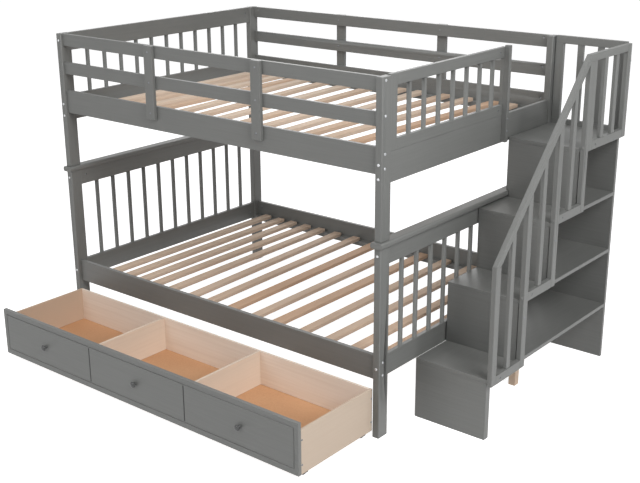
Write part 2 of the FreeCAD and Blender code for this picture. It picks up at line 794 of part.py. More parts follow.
RAIL_MIDDLE = "stair_side + stair_rail_thick / 2"


def rail_bolt(start, low, grip):
    """A bolt from the lower edge of a stile into the bottom rail beyond it."""
    bolted("stair_rail_stiles", "stair_rail_bottom_rails",
           (RAIL_MIDDLE, start, f"{low} + bottom_rail_height / 2"), "+Y", grip, "rail_side", "-X")


# One bottom rail and one baluster to each step.
for step in range(1, STEPS):
    low = rail_low(step)
    start = f"{stile_start(step)} + stile_width"
    end = stile_start(step + 1)
    board("stair_rail_bottom_rails", RAILING_X, (start, end), (low, f"{low} + bottom_rail_height"))
    rail_bolt(stile_start(step), low, "stile_width")
    near = f"({start} + {end} - baluster_width) / 2"
    far = f"({start} + {end} + baluster_width) / 2"
    sawn_upright("stair_rail_balusters", BALUSTER_X, [
        (near, f"{low} + bottom_rail_height"),
        (far, f"{low} + bottom_rail_height"),
        (far, underside(far)),
        (near, underside(near)),
    ])

board("stair_rail_bottom_rails", RAILING_X, ("platform_rail_start", "end_post"),
      ("platform_rail_low", "platform_rail_top"))
rail_bolt("twin_stile", "platform_rail_low", "2 * twin_stile_width")
platform_gap = (f"(end_post - platform_rail_start - {PLATFORM_BALUSTERS} * baluster_width)"
                f" / {PLATFORM_BALUSTERS + 1}")
for count in range(PLATFORM_BALUSTERS):
    near = f"platform_rail_start + {platform_gap} + {count} * ({platform_gap} + baluster_width)"
    board("stair_rail_balusters", BALUSTER_X, (near, f"{near} + baluster_width"),
          ("platform_rail_top", FLAT_LOW))

# Screws hold the stiles to the edges of the risers, and the rails to the platform.
for step in range(2, STEPS + 1):
    middle = f"{riser_front(step)} + stair_board / 2"
    screwed(("rail_side", middle, f"{board_low(step)} - riser_screw_drop"), "-X",
            "rail_side - bed_length - riser_width + screw_bite",
            "stair_rail_stiles", f"riser_{step}")
screwed(("rail_side", "end_post - platform_screw_from_post", "platform_top - stair_board / 2"), "-X",
        "stair_rail_thick + screw_bite", "stair_rail_bottom_rails", "stair_platform")


# ---- Guard behind the platform ----

REAR_GUARD_X = ("rear_guard_start", "stair_side")
REAR_GUARD_Y = ("back_face", "rear_guard_face")
REAR_TOP = ("rear_guard_top - rear_guard_top_height", "rear_guard_top")
board("rear_guard_rails", REAR_GUARD_X, REAR_GUARD_Y, ("platform_rail_low", "platform_rail_top"))
board("rear_guard_rails", REAR_GUARD_X, REAR_GUARD_Y, REAR_TOP)
LEFT_STILE = ("rear_guard_start", "rear_guard_start + rear_stile_width")
RIGHT_STILE = ("stair_side - rear_stile_width", "stair_side")
for stile_x in (LEFT_STILE, RIGHT_STILE):
    board("rear_guard_uprights", stile_x, REAR_GUARD_Y, ("platform_rail_top", REAR_TOP[0]))
REAR_INSET = "(rear_guard_thick - baluster_thick) / 2"
rear_gap = (f"({RIGHT_STILE[0]} - ({LEFT_STILE[1]}) - {PLATFORM_BALUSTERS} * baluster_width)"
            f" / {PLATFORM_BALUSTERS + 1}")
for count in range(PLATFORM_BALUSTERS):
    near = f"{LEFT_STILE[1]} + {rear_gap} + {count} * ({rear_gap} + baluster_width)"
    board("rear_guard_uprights", (near, f"{near} + baluster_width"),
          (f"back_face + {REAR_INSET}", f"rear_guard_face - {REAR_INSET}"),
          ("platform_rail_top", REAR_TOP[0]))
corner_screw = ("rail_side", "back_face + end_post_overrun / 2", "handrail_top - corner_screw_drop")
screwed(corner_screw, "-X", "stair_rail_thick + screw_bite", "stair_rail_stiles", "rear_guard_uprights")


# ---- Drawer ----

FRONT_Z = ("drawer_floor_gap", "drawer_top")
BOX_Z = ("drawer_floor_gap", "box_top")
BOX_INNER_X = ("box_inner", "bed_length - box_inner")
INNER_FRONT_Y = ("drawer_box_front", "drawer_box_front + drawer_board")
BACK_Y = ("drawer_box_rear - drawer_board", "drawer_box_rear")


board("drawer_front", ("drawer_start", "drawer_end"), ("drawer_face", "drawer_box_front"), FRONT_Z)

# V beads frame three panels on the drawer's face; they stop short of its edges.
LOW_BEAD = f"{FRONT_Z[0]} + low_bead_height"
HIGH_BEAD = f"{FRONT_Z[1]} - high_bead_drop"
panel = f"(drawer_front_length - 2 * end_bead_inset) / {COMPARTMENTS}"
for count in range(COMPARTMENTS + 1):
    upright_bead = [("0 - bead_width / 2", "0"), ("bead_width / 2", "0"), ("0", "bead_depth")]
    drill("drawer_front", slab("drawer_front", "XY_Plane", upright_bead,
                               f"{HIGH_BEAD} - ({LOW_BEAD})", False,
                               f"drawer_start + end_bead_inset + {count} * {panel}",
                               "drawer_face", LOW_BEAD))
for height in (LOW_BEAD, HIGH_BEAD):
    level_bead = [("0", "0 - bead_width / 2"), ("bead_depth", "0"), ("0", "bead_width / 2")]
    drill("drawer_front", slab("drawer_front", "YZ_Plane", level_bead,
                               "drawer_front_length - 2 * end_bead_inset", False,
                               "drawer_start + end_bead_inset", "drawer_face", height))

board("drawer_inner_front", BOX_INNER_X, INNER_FRONT_Y, BOX_Z)
board("drawer_back", BOX_INNER_X, BACK_Y, BOX_Z)
for side_x in sides("box_start", "box_inner", "bed_length"):
    board("drawer_sides", side_x, ("drawer_box_front", "drawer_box_rear"), BOX_Z)

# Hardboard bottoms slide in grooves of the boards around each compartment.
for count in range(COMPARTMENTS):
    low_x = f"box_inner + {count} * (compartment + drawer_board)"
    high_x = f"{low_x} + compartment"
    if count > 0:
        board("drawer_dividers", (f"{low_x} - drawer_board", low_x),
              (INNER_FRONT_Y[1], BACK_Y[0]), BOX_Z)
    tongue = "groove_depth - groove_play"
    board("drawer_bottoms", (f"{low_x} - ({tongue})", f"{high_x} + {tongue}"),
          (f"{INNER_FRONT_Y[1]} - ({tongue})", f"{BACK_Y[0]} + {tongue}"),
          ("bottom_low", "bottom_top"))
    groove = block("bottom_groove", (f"{low_x} - groove_depth", f"{high_x} + groove_depth"),
                   (f"{INNER_FRONT_Y[1]} - groove_depth", f"{BACK_Y[0]} + groove_depth"),
                   ("bottom_low", "bottom_top + groove_play"))
    for node in ("drawer_inner_front", "drawer_back", "drawer_sides", "drawer_dividers"):
        drill(node, groove)

# Side screws enter the ends of the inner front and of the back.
for face, way in (("box_start", "+X"), ("bed_length - box_start", "-X")):
    for row_y, member in ((INNER_FRONT_Y, "drawer_inner_front"), (BACK_Y, "drawer_back")):
        for lift in ("drawer_low_screw", "drawer_high_screw"):
            head_at = (face, f"{row_y[0]} + drawer_board / 2", f"drawer_floor_gap + {lift}")
            screwed(head_at, way, "drawer_board + screw_bite", "drawer_sides", member)

# Turned knobs, one to each compartment, held by screws from inside.
KNOB_HEIGHT = f"({FRONT_Z[0]} + {FRONT_Z[1]}) / 2"
for count in range(KNOBS):
    middle = f"drawer_start + {2 * count + 1} * drawer_front_length / {2 * KNOBS}"
    knob = doc.addObject("Part::MultiFuse", numbered("drawer_knobs"))
    stem = rod("knob_stem", (middle, "drawer_face", KNOB_HEIGHT), "-Y",
               "knob_reach - knob_swell", "knob_stem_radius")
    swell = doc.addObject("Part::Ellipsoid", "knob_head")
    bind(swell, "Radius1", "knob_radius")
    bind(swell, "Radius2", "knob_radius")
    bind(swell, "Radius3", "knob_swell")
    place(swell, middle, "drawer_face - knob_reach + knob_swell", KNOB_HEIGHT)
    knob.Shapes = [stem, swell]
    add("drawer_knobs", knob)
    screwed((middle, INNER_FRONT_Y[1], KNOB_HEIGHT), "-Y",
            "drawer_board + drawer_front_thick + screw_bite",
            "drawer_inner_front", "drawer_front", "drawer_knobs")


# ---- Castors ----

AXLE_ROWS = {"front": "drawer_box_front + wheel_from_end", "rear": "drawer_box_rear - wheel_from_end"}
FORK_X = sides("box_inner", "wheel_inner + fork_play + fork_cheek", "bed_length")
SLOT_X = sides("wheel_outer - fork_play", "wheel_inner + fork_play", "bed_length")
WHEEL_START = {"head": "wheel_outer", "foot": "bed_length - wheel_inner"}
AXLE_X = sides("box_inner + fork_cheek", "wheel_inner + fork_play + fork_cheek", "bed_length")
for row, axle_y in AXLE_ROWS.items():
    fork_y = (f"{axle_y} - fork_length / 2", f"{axle_y} + fork_length / 2")
    for end, fork_x, slot_x, axle_x in zip(WHEEL_START, FORK_X, SLOT_X, AXLE_X):
        board("castor_forks", fork_x, fork_y, ("wheel_radius - fork_below_axle", "bottom_low"))
        drill("castor_forks", block("wheel_slot", slot_x, fork_y,
                                    ("wheel_radius - fork_below_axle", "2 * wheel_radius + fork_play")))
        axle_at = (axle_x[0], axle_y, "wheel_radius")
        axle_length = f"({axle_x[1]}) - ({axle_x[0]})"
        add("castor_axles", rod(numbered("castor_axles"), axle_at, "+X", axle_length, "axle_radius"))
        bore = rod("axle_hole", axle_at, "+X", axle_length, "axle_radius + axle_play")
        drill("castor_forks", bore)
        wheel = f"wheel_{row}_{end}"
        drill(wheel, bore)
        tread = doc.addObject("PartDesign::Body", wheel + "_body")
        disc = tread.newObject("PartDesign::AdditiveCylinder", wheel + "_disc")
        bind(disc, "Radius", "wheel_radius")
        bind(disc, "Height", "wheel_width")
        doc.recompute()
        rim = tread.newObject("PartDesign::Fillet", wheel + "_rim")
        rim.Base = (disc, ["Face2", "Face3"])
        bind(rim, "Radius", "wheel_round")
        tread.Tip = rim
        tread.Placement = Placement(Vector(), WAYS["+X"])
        place(tread, WHEEL_START[end], axle_y, "wheel_radius")
        add(wheel, tread)


# ---- Nodes ----

bolts = doc.addObject("Part::MultiFuse", "bed_bolts_turned")
bolts.Shapes = shanks + heads
add("bed_bolts", bolts)


def gathered(label, members):
    """Several pieces as one object, or the piece itself where there is only one."""
    if len(members) == 1:
        return members[0]
    group = doc.addObject("Part::Compound", label)
    group.Links = members
    return group


nodes = []
for node, members in pieces.items():
    made = gathered(node + "_pieces", members)
    if node in holes:
        solid = made
        made = doc.addObject("Part::Cut", node + "_drilled")
        made.Base = solid
        made.Tool = gathered(node + "_holes", holes[node])
    made.Label = node
    nodes.append(made)
doc.recompute()

for thing in doc.Objects:
    if "Invalid" in thing.State or "Error" in thing.State:
        raise RuntimeError(f"{thing.Label} could not be made: {thing.State}")
for made in nodes:
    if made.Shape.isNull() or not made.Shape.isValid():
        raise RuntimeError(f"{made.Label} is not a sound solid")

os.makedirs("parts", exist_ok=True)
for made in nodes:
    made.Shape.exportStep(f"parts/{made.Label}.step")
print(len(nodes), "nodes,", sum(len(made.Shape.Solids) for made in nodes), "solids")
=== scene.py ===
"""A bunk bed with storage stairs and a drawer on castors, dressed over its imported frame.

X runs from the head end to the stairs, Y from the front to the rear, Z up, all in metres.
"""

import math

import bmesh
import bpy
from mathutils import Matrix, Vector


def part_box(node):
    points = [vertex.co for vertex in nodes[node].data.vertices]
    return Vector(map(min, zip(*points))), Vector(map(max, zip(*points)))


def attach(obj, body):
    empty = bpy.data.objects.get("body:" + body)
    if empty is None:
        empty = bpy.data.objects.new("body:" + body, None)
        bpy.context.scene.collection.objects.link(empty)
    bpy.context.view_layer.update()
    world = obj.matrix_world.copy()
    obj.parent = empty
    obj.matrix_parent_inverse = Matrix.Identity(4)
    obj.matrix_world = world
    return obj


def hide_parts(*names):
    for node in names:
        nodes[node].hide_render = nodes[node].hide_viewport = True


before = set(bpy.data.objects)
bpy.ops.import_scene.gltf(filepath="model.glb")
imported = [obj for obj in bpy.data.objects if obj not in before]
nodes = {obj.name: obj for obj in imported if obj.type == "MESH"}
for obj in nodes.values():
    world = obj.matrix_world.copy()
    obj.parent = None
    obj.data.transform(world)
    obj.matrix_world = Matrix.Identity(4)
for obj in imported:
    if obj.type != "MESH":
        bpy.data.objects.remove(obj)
scene = bpy.context.scene
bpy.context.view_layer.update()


# ---- Camera ----
# The photograph looks down on the stair end of the bed from the front right, a little
# above the guard rails, with a moderately long lens. It leans a third of a degree.

VIEW_AZIMUTH = math.radians(39.33852)
VIEW_ELEVATION = math.radians(18.69480)
VIEW_LEAN = math.radians(-0.32512)
LENS_MM = 61.907
SENSOR_MM = 36
SIGHT_LIMIT = 200
STANDPOINT = Vector((4.466667, -3.450867, 2.328244))

sight = Vector((-math.sin(VIEW_AZIMUTH) * math.cos(VIEW_ELEVATION),
                math.cos(VIEW_AZIMUTH) * math.cos(VIEW_ELEVATION),
                -math.sin(VIEW_ELEVATION)))
level = sight.cross(Vector((0, 0, 1))).normalized()
upward = level.cross(sight)
rightward = math.cos(VIEW_LEAN) * level + math.sin(VIEW_LEAN) * upward
upward = math.cos(VIEW_LEAN) * upward - math.sin(VIEW_LEAN) * level
camera = bpy.data.objects.new("camera", bpy.data.cameras.new("camera"))
camera.matrix_world = (Matrix.Translation(STANDPOINT)
                       @ Matrix((rightward, upward, -sight)).transposed().to_4x4())
camera.data.lens = LENS_MM
camera.data.sensor_width = SENSOR_MM
camera.data.sensor_fit = "HORIZONTAL"
camera.data.clip_end = SIGHT_LIMIT
scene.collection.objects.link(camera)
scene.camera = camera


# ---- Studio ----
# A white paper floor that runs out of sight, dim white surroundings, and four large soft
# boxes: by the stairs end, which makes the end faces lightest, in front, above and behind.

FLOOR_HALF = 60
PAPER_HEX = "#D9D9D9"
PAPER_GLOW = 0.90
SURROUND_HEX = "#FFFFFF"
SURROUND_LIGHT = 0.16
SOFT_BOX_SIDE = 3.2
# Each soft box: its name, where it hangs, and its power in watts.
SOFT_BOXES = (
    ("stair_side_box", (6.2, -1.2, 4.2), 270),
    ("front_box", (-0.6, -5.5, 3.0), 92),
    ("top_box", (0.9, -1.0, 5.2), 62),
    ("rear_box", (-3.5, 6.5, 4.0), 110),
)
LIT_POINT = Vector((1.1, 0.6, 0.75))


def colour(code):
    """An sRGB hex colour as the linear colour that shaders take."""
    parts = [int(code[start:start + 2], 16) / 255 for start in (1, 3, 5)]
    return [part / 12.92 if part <= 0.04045 else ((part + 0.055) / 1.055) ** 2.4
            for part in parts] + [1]


def put(tree, kind, sockets=(), **settings):
    """Add a node with its settings, and set or link its sockets."""
    node = tree.nodes.new(kind)
    for name, value in settings.items():
        setattr(node, name, value)
    for name, value in dict(sockets).items():
        if isinstance(value, bpy.types.NodeSocket):
            tree.links.new(value, node.inputs[name])
        else:
            node.inputs[name].default_value = value
    return node


def blank(material):
    """The empty node tree of a new material or world."""
    material.use_nodes = True
    material.node_tree.nodes.clear()
    return material.node_tree


def seen_directly(tree):
    """One where a ray comes from the camera, a mirror or glass, and nought elsewhere."""
    path = put(tree, "ShaderNodeLightPath").outputs
    either = put(tree, "ShaderNodeMath", {0: path["Is Camera Ray"], 1: path["Is Glossy Ray"]},
                 operation="MAXIMUM").outputs[0]
    return put(tree, "ShaderNodeMath", {0: either, 1: path["Is Transmission Ray"]},
               operation="MAXIMUM").outputs[0]


floor_mesh = bpy.data.meshes.new("paper_floor")
floor_mesh.from_pydata([(-FLOOR_HALF, -FLOOR_HALF, 0), (FLOOR_HALF, -FLOOR_HALF, 0),
                        (FLOOR_HALF, FLOOR_HALF, 0), (-FLOOR_HALF, FLOOR_HALF, 0)],
                       [], [(0, 1, 2, 3)])
floor = bpy.data.objects.new("paper_floor", floor_mesh)
scene.collection.objects.link(floor)
# Matt white paper: it scatters light, and glows only where it is seen directly.
paper = bpy.data.materials.new("white_studio_paper")
tree = blank(paper)
matt = put(tree, "ShaderNodeBsdfDiffuse", {"Color": colour(PAPER_HEX)}).outputs[0]
glow = put(tree, "ShaderNodeMath", {0: seen_directly(tree), 1: PAPER_GLOW},
           operation="MULTIPLY").outputs[0]
glow = put(tree, "ShaderNodeEmission", {"Strength": glow}).outputs[0]
surface = put(tree, "ShaderNodeAddShader", {0: matt, 1: glow}).outputs[0]
put(tree, "ShaderNodeOutputMaterial", {"Surface": surface})
floor_mesh.materials.append(paper)

scene.world = bpy.data.worlds.new("white_surroundings")
tree = blank(scene.world)
strength = put(tree, "ShaderNodeMapRange", {"Value": seen_directly(tree),
                                            "To Min": SURROUND_LIGHT}).outputs[0]
surface = put(tree, "ShaderNodeBackground", {"Color": colour(SURROUND_HEX),
                                             "Strength": strength}).outputs[0]
put(tree, "ShaderNodeOutputWorld", {"Surface": surface})

for name, spot, power in SOFT_BOXES:
    lamp = bpy.data.lights.new(name, "AREA")
    lamp.shape = "SQUARE"
    lamp.size = SOFT_BOX_SIDE
    lamp.energy = power
    box = bpy.data.objects.new(name, lamp)
    box.location = spot
    box.rotation_euler = (LIT_POINT - Vector(spot)).to_track_quat("-Z", "Y").to_euler()
    scene.collection.objects.link(box)

scene.view_settings.view_transform = "Standard"


# ---- Posts and cap rails ----
# Four lower and four upper posts of planed pine stand on each other through the rails that
# cap the lower ones. All are sprayed with satin grey paint over a sanded primer.

PAINT_HEX = "#757674"
PAINT_DEEP_HEX = "#6F706E"
PAINT_ROUGHNESS = 0.46
PAINT_ROUGHNESS_SPREAD = 0.05
GRAIN_MM = 7            # raised grain is about 2 mm apart; drawn coarser so that it shows
GRAIN_LENGTH_MM = 260
GRAIN_DETAIL = 3.0
GRAIN_ROUGHNESS = 0.55
CLOUD_MM = 420          # slow change in how thick the paint lies
CLOUD_DETAIL = 2.0
CLOUD_LOW, CLOUD_HIGH = 0.3, 0.7        # the part of the cloud's range that changes the sheen
THIN_PAINT, THICK_PAINT = 0.75, 1.25    # grain and cloud together, from deep to full colour
PAINT_RELIEF_MM = 0.12
PAINT_RELIEF_STRENGTH = 0.22
SURFACE_IOR = 1.5       # paint, wood, hardboard and lacquer alike
EASED_EDGE = 0.0018
EASED_BEYOND = math.radians(50)         # an edge is eased where it turns more than this
EASED_STEPS = 2
SAME_CORNER = 0.00001
SAME_PLANE = math.radians(0.5)


def painted(way, name="satin_grey_paint_grain_along_{}", shade=None):
    """Satin paint on sanded pine: an even grey, faint grain along the board, a soft sheen.

    The name takes the way of the grain, and the shade is a function that changes the colour.
    """
    material = bpy.data.materials.new(name.format(way))
    tree = blank(material)
    place = put(tree, "ShaderNodeTexCoord").outputs["Object"]
    stretch = [1.0 if axis != way else GRAIN_MM / GRAIN_LENGTH_MM for axis in "xyz"]
    along = put(tree, "ShaderNodeMapping", {"Vector": place, "Scale": stretch}).outputs[0]
    grain = put(tree, "ShaderNodeTexNoise", {"Vector": along, "Scale": 1000 / GRAIN_MM,
                                             "Detail": GRAIN_DETAIL,
                                             "Roughness": GRAIN_ROUGHNESS}).outputs[0]
    cloud = put(tree, "ShaderNodeTexNoise", {"Vector": place, "Scale": 1000 / CLOUD_MM,
                                             "Detail": CLOUD_DETAIL}).outputs[0]
    depth = put(tree, "ShaderNodeMath", {0: grain, 1: cloud}, operation="ADD").outputs[0]
    depth = put(tree, "ShaderNodeMapRange", {"Value": depth, "From Min": THIN_PAINT,
                                             "From Max": THICK_PAINT}).outputs[0]
    tint = put(tree, "ShaderNodeMix", {0: depth, 6: colour(PAINT_DEEP_HEX),
                                       7: colour(PAINT_HEX)}, data_type="RGBA").outputs[2]
    if shade:
        tint = shade(tree, tint)
    sheen = put(tree, "ShaderNodeMapRange",
                {"Value": cloud, "From Min": CLOUD_LOW, "From Max": CLOUD_HIGH,
                 "To Min": PAINT_ROUGHNESS - PAINT_ROUGHNESS_SPREAD,
                 "To Max": PAINT_ROUGHNESS + PAINT_ROUGHNESS_SPREAD}).outputs[0]
    relief = put(tree, "ShaderNodeBump", {"Height": grain, "Strength": PAINT_RELIEF_STRENGTH,
                                          "Distance": PAINT_RELIEF_MM / 1000}).outputs[0]
    surface = put(tree, "ShaderNodeBsdfPrincipled", {"Base Color": tint, "Roughness": sheen,
                                                     "IOR": SURFACE_IOR,
                                                     "Normal": relief}).outputs[0]
    put(tree, "ShaderNodeOutputMaterial", {"Surface": surface})
    return material


painted_along = {way: painted(way) for way in "xyz"}


def dress(material, *names, edge=EASED_EDGE):
    """Give CAD nodes their finish, and ease their sharp edges as sanding does."""
    for name in names:
        node = nodes[name]
        node.data.materials.clear()
        node.data.materials.append(material)
        if edge:
            weld = node.modifiers.new("joined_corners", "WELD")
            weld.merge_threshold = SAME_CORNER
            flat = node.modifiers.new("whole_faces", "DECIMATE")
            flat.decimate_type = "DISSOLVE"
            flat.angle_limit = SAME_PLANE
            ease = node.modifiers.new("eased_edges", "BEVEL")
            ease.width = edge
            ease.segments = EASED_STEPS
            ease.limit_method = "ANGLE"
            ease.angle_limit = EASED_BEYOND
            ease.use_clamp_overlap = False


dress(painted_along["z"], "lower_posts", "upper_posts")
dress(painted_along["y"], "cap_rail_head", "cap_rail_foot")


# ---- Long rails and guard boards ----
# Planed pine boards run between the posts, three on each long side of the upper bed and one
# on the lower bed. Two upright boards a side are screwed to them. All have the same paint.

dress(painted_along["x"], "top_rail_front", "top_rail_rear", "mid_rails", "side_rail_front",
      "side_rail_rear", "lower_side_rails", "slat_ledgers")
dress(painted_along["z"], "guard_boards")


# ---- End panels ----
# Boards run between the posts of each end, with square balusters set between them. The
# foot end of the upper bed is one wide board, below the way in from the stairs.

BALUSTER_ROUND = 0.002
SAME_POINT = 0.00002
CORNER_STEPS = 3        # faces round each corner of a stick

dress(painted_along["y"], "lower_end_top_boards", "lower_end_bottom_boards", "head_top_rail",
      "head_cross_board", "foot_cross_board")


def islands(name):
    """The corners of each separate piece of a CAD node, the pieces in order of place."""
    copy = bmesh.new()
    copy.from_mesh(nodes[name].data)
    bmesh.ops.remove_doubles(copy, verts=copy.verts, dist=SAME_POINT)
    copy.verts.index_update()
    left = set(copy.verts)
    found = []
    while left:
        piece = {left.pop()}
        rim = list(piece)
        while rim:
            near = {edge.other_vert(vert) for vert in rim for edge in vert.link_edges}
            rim = list(near - piece)
            piece |= near
        left -= piece
        found.append([vert.co.copy() for vert in sorted(piece, key=lambda vert: vert.index)])
    copy.free()
    return sorted(found, key=lambda group: [round(value, 4) for value in middle_of(group)])


def middle_of(group):
    """The middle of the box round some points."""
    return [(min(axis) + max(axis)) / 2 for axis in zip(*group)]


def span_of(group):
    """The size of the box round some points."""
    return [max(axis) - min(axis) for axis in zip(*group)]


def geometry_tree(name, sizes):
    """A node tree that takes and gives geometry, with named inputs for sizes."""
    tree = bpy.data.node_groups.new(name, "GeometryNodeTree")
    tree.interface.new_socket("Geometry", in_out="INPUT", socket_type="NodeSocketGeometry")
    for label, kind in sizes:
        tree.interface.new_socket(label, in_out="INPUT", socket_type="NodeSocket" + kind)
    tree.interface.new_socket("Geometry", in_out="OUTPUT", socket_type="NodeSocketGeometry")
    return tree


def grown(name, tree, places, inputs, body, slot, **marks):
    """Run a node tree over a row of places, and keep the result as a plain mesh on a body."""
    carrier_mesh = bpy.data.meshes.new(name + "_places")
    carrier_mesh.from_pydata([tuple(place) for place in places], [], [])
    for mark, values in marks.items():
        kind, field = (("FLOAT_VECTOR", "vector") if hasattr(values[0], "__len__")
                       else ("FLOAT", "value"))
        layer = carrier_mesh.attributes.new(mark, kind, "POINT")
        for item, value in zip(layer.data, values):
            setattr(item, field, value)
    carrier = bpy.data.objects.new(name + "_carrier", carrier_mesh)
    scene.collection.objects.link(carrier)
    modifier = carrier.modifiers.new(name, "NODES")
    modifier.node_group = tree
    sockets = {item.name: item.identifier for item in tree.interface.items_tree
               if item.in_out == "INPUT"}
    for label, value in inputs.items():
        modifier[sockets[label]] = value
    live = carrier.evaluated_get(bpy.context.evaluated_depsgraph_get())
    mesh = bpy.data.meshes.new_from_object(live)
    mesh.name = name
    piece = bpy.data.objects.new(name, mesh)
    scene.collection.objects.link(piece)
    bpy.data.objects.remove(carrier)
    bpy.data.meshes.remove(carrier_mesh)
    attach(piece, body)
    return piece


def stick_tree():
    """Planed sticks: a rounded section run along Z, narrower at both ends by what is eased.

    The section runs along a line of four points, the two ends and the two inner points where
    the full width starts. An index of 1.5 is the middle of that line.
    """
    tree = geometry_tree("planed_sticks", [("Across", "Float"), ("Deep", "Float"),
                                           ("Long", "Float"), ("Round", "Float"),
                                           ("Ease", "Float"), ("Finish", "Material")])
    given = put(tree, "NodeGroupInput").outputs
    section = put(tree, "GeometryNodeCurvePrimitiveQuadrilateral",
                  {"Width": given["Across"], "Height": given["Deep"]}).outputs[0]
    section = put(tree, "GeometryNodeFilletCurve", {"Curve": section, "Radius": given["Round"],
                                                    "Count": CORNER_STEPS,
                                                    "Limit Radius": True},
                  mode="POLY").outputs[0]
    line = put(tree, "GeometryNodeCurvePrimitiveLine", {"End": (0, 0, 1)}).outputs[0]
    line = put(tree, "GeometryNodeResampleCurve", {"Curve": line, "Count": 4}).outputs[0]
    count = put(tree, "GeometryNodeInputIndex").outputs[0]
    offset = put(tree, "ShaderNodeMath", {0: count, 1: 1.5}, operation="SUBTRACT").outputs[0]
    side = put(tree, "ShaderNodeMath", {0: offset}, operation="SIGN").outputs[0]
    away = put(tree, "ShaderNodeMath", {0: offset}, operation="ABSOLUTE").outputs[0]
    inner = put(tree, "ShaderNodeMath", {0: away, 1: 1.0}, operation="LESS_THAN").outputs[0]
    half = put(tree, "ShaderNodeMath", {0: given["Long"], 1: 0.5},
               operation="MULTIPLY").outputs[0]
    back = put(tree, "ShaderNodeMath", {0: inner, 1: given["Ease"]},
               operation="MULTIPLY").outputs[0]
    reach = put(tree, "ShaderNodeMath", {0: half, 1: back}, operation="SUBTRACT").outputs[0]
    height = put(tree, "ShaderNodeMath", {0: side, 1: reach}, operation="MULTIPLY").outputs[0]
    spot = put(tree, "ShaderNodeCombineXYZ", {"Z": height}).outputs[0]
    line = put(tree, "GeometryNodeSetPosition", {"Geometry": line, "Position": spot}).outputs[0]
    width = put(tree, "ShaderNodeMath", {0: given["Across"], 1: 0.5},
                operation="MULTIPLY").outputs[0]
    shrink = put(tree, "ShaderNodeMath", {0: given["Ease"], 1: width},
                 operation="DIVIDE").outputs[0]
    swell = put(tree, "ShaderNodeMath", {0: inner, 1: shrink}, operation="MULTIPLY").outputs[0]
    base = put(tree, "ShaderNodeMath", {0: 1.0, 1: shrink}, operation="SUBTRACT").outputs[0]
    scale = put(tree, "ShaderNodeMath", {0: base, 1: swell}, operation="ADD").outputs[0]
    sweep = put(tree, "GeometryNodeCurveToMesh", {"Curve": line, "Profile Curve": section,
                                                  "Scale": scale, "Fill Caps": True}).outputs[0]
    turn = put(tree, "GeometryNodeInputNamedAttribute", {"Name": "turn"},
               data_type="FLOAT_VECTOR").outputs[0]
    breadth = put(tree, "GeometryNodeInputNamedAttribute", {"Name": "breadth"},
                  data_type="FLOAT_VECTOR").outputs[0]
    laid = put(tree, "GeometryNodeInstanceOnPoints",
               {"Points": given["Geometry"], "Instance": sweep, "Rotation": turn,
                "Scale": breadth}).outputs[0]
    real = put(tree, "GeometryNodeRealizeInstances", {"Geometry": laid}).outputs[0]
    done = put(tree, "GeometryNodeSetMaterial", {"Geometry": real,
                                                 "Material": given["Finish"]}).outputs[0]
    put(tree, "NodeGroupOutput", {"Geometry": done})
    return tree


sticks = stick_tree()


def baluster_row(name):
    """One row of square balusters in the place of its CAD node."""
    groups = islands(name)
    across, deep, long = span_of(groups[0])
    row = grown(name + "_planed", sticks, [middle_of(group) for group in groups],
                {"Across": across, "Deep": deep, "Long": long, "Round": BALUSTER_ROUND,
                 "Ease": 0.0, "Finish": painted_along["z"]}, "root", "grey_paint",
                turn=[(0, 0, 0)] * len(groups), breadth=[(1, 1, 1)] * len(groups))
    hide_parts(name)


baluster_row("lower_end_balusters")
baluster_row("head_balusters")


# ---- Slats ----
# Planed pine slats lie across the ledgers of each bed, unpainted and a little askew. The
# wood is pale with a pink or yellow cast, and a few slats are browner than the rest.

SLAT_ROUND = 0.002
SLAT_EASE = 0.003
PINE_PALE_HEX = "#E8D6C4"
PINE_PINK_HEX = "#D9C0AA"
PINE_BROWN_HEX = "#CFA27D"
RING_MM = 9             # growth rings show as lines 3 to 15 mm apart on a flat-sawn face
RING_LENGTH_MM = 900
RING_DEPTH = 0.55       # how far the rings go from their ground towards the dark of the board
DARK_RING = 0.4         # how far that dark is from the ground towards brown
RING_WANDER = 0.6       # how much the rings bend
PALE_WOOD, DARK_WOOD = 0.35, 0.68       # where in the noise the rings start and end
FIBRE_MM = 2.5
PINE_DETAIL = 2.0
PINE_RELIEF = 0.0002
PINE_RELIEF_STRENGTH = 0.3
PINE_ROUGHNESS = 0.72
FIGURE_SHIFT = 7.0      # each board's figure is moved by its tone, so that no two are alike
# How brown each slat is, from the head end: 0 is the pale wood, 0.5 the pink and 1 the brown.
UPPER_TONES = (0.2, 0.45, 0.15, 0.6, 0.25, 0.4, 0.15, 0.5, 0.3, 0.2, 0.55, 0.35, 0.75, 0.45,
               0.5)
LOWER_TONES = (0.3, 0.35, 0.3, 0.4, 0.35, 0.35, 0.45, 0.75, 0.4, 0.7, 0.45, 0.4, 0.55, 0.65)


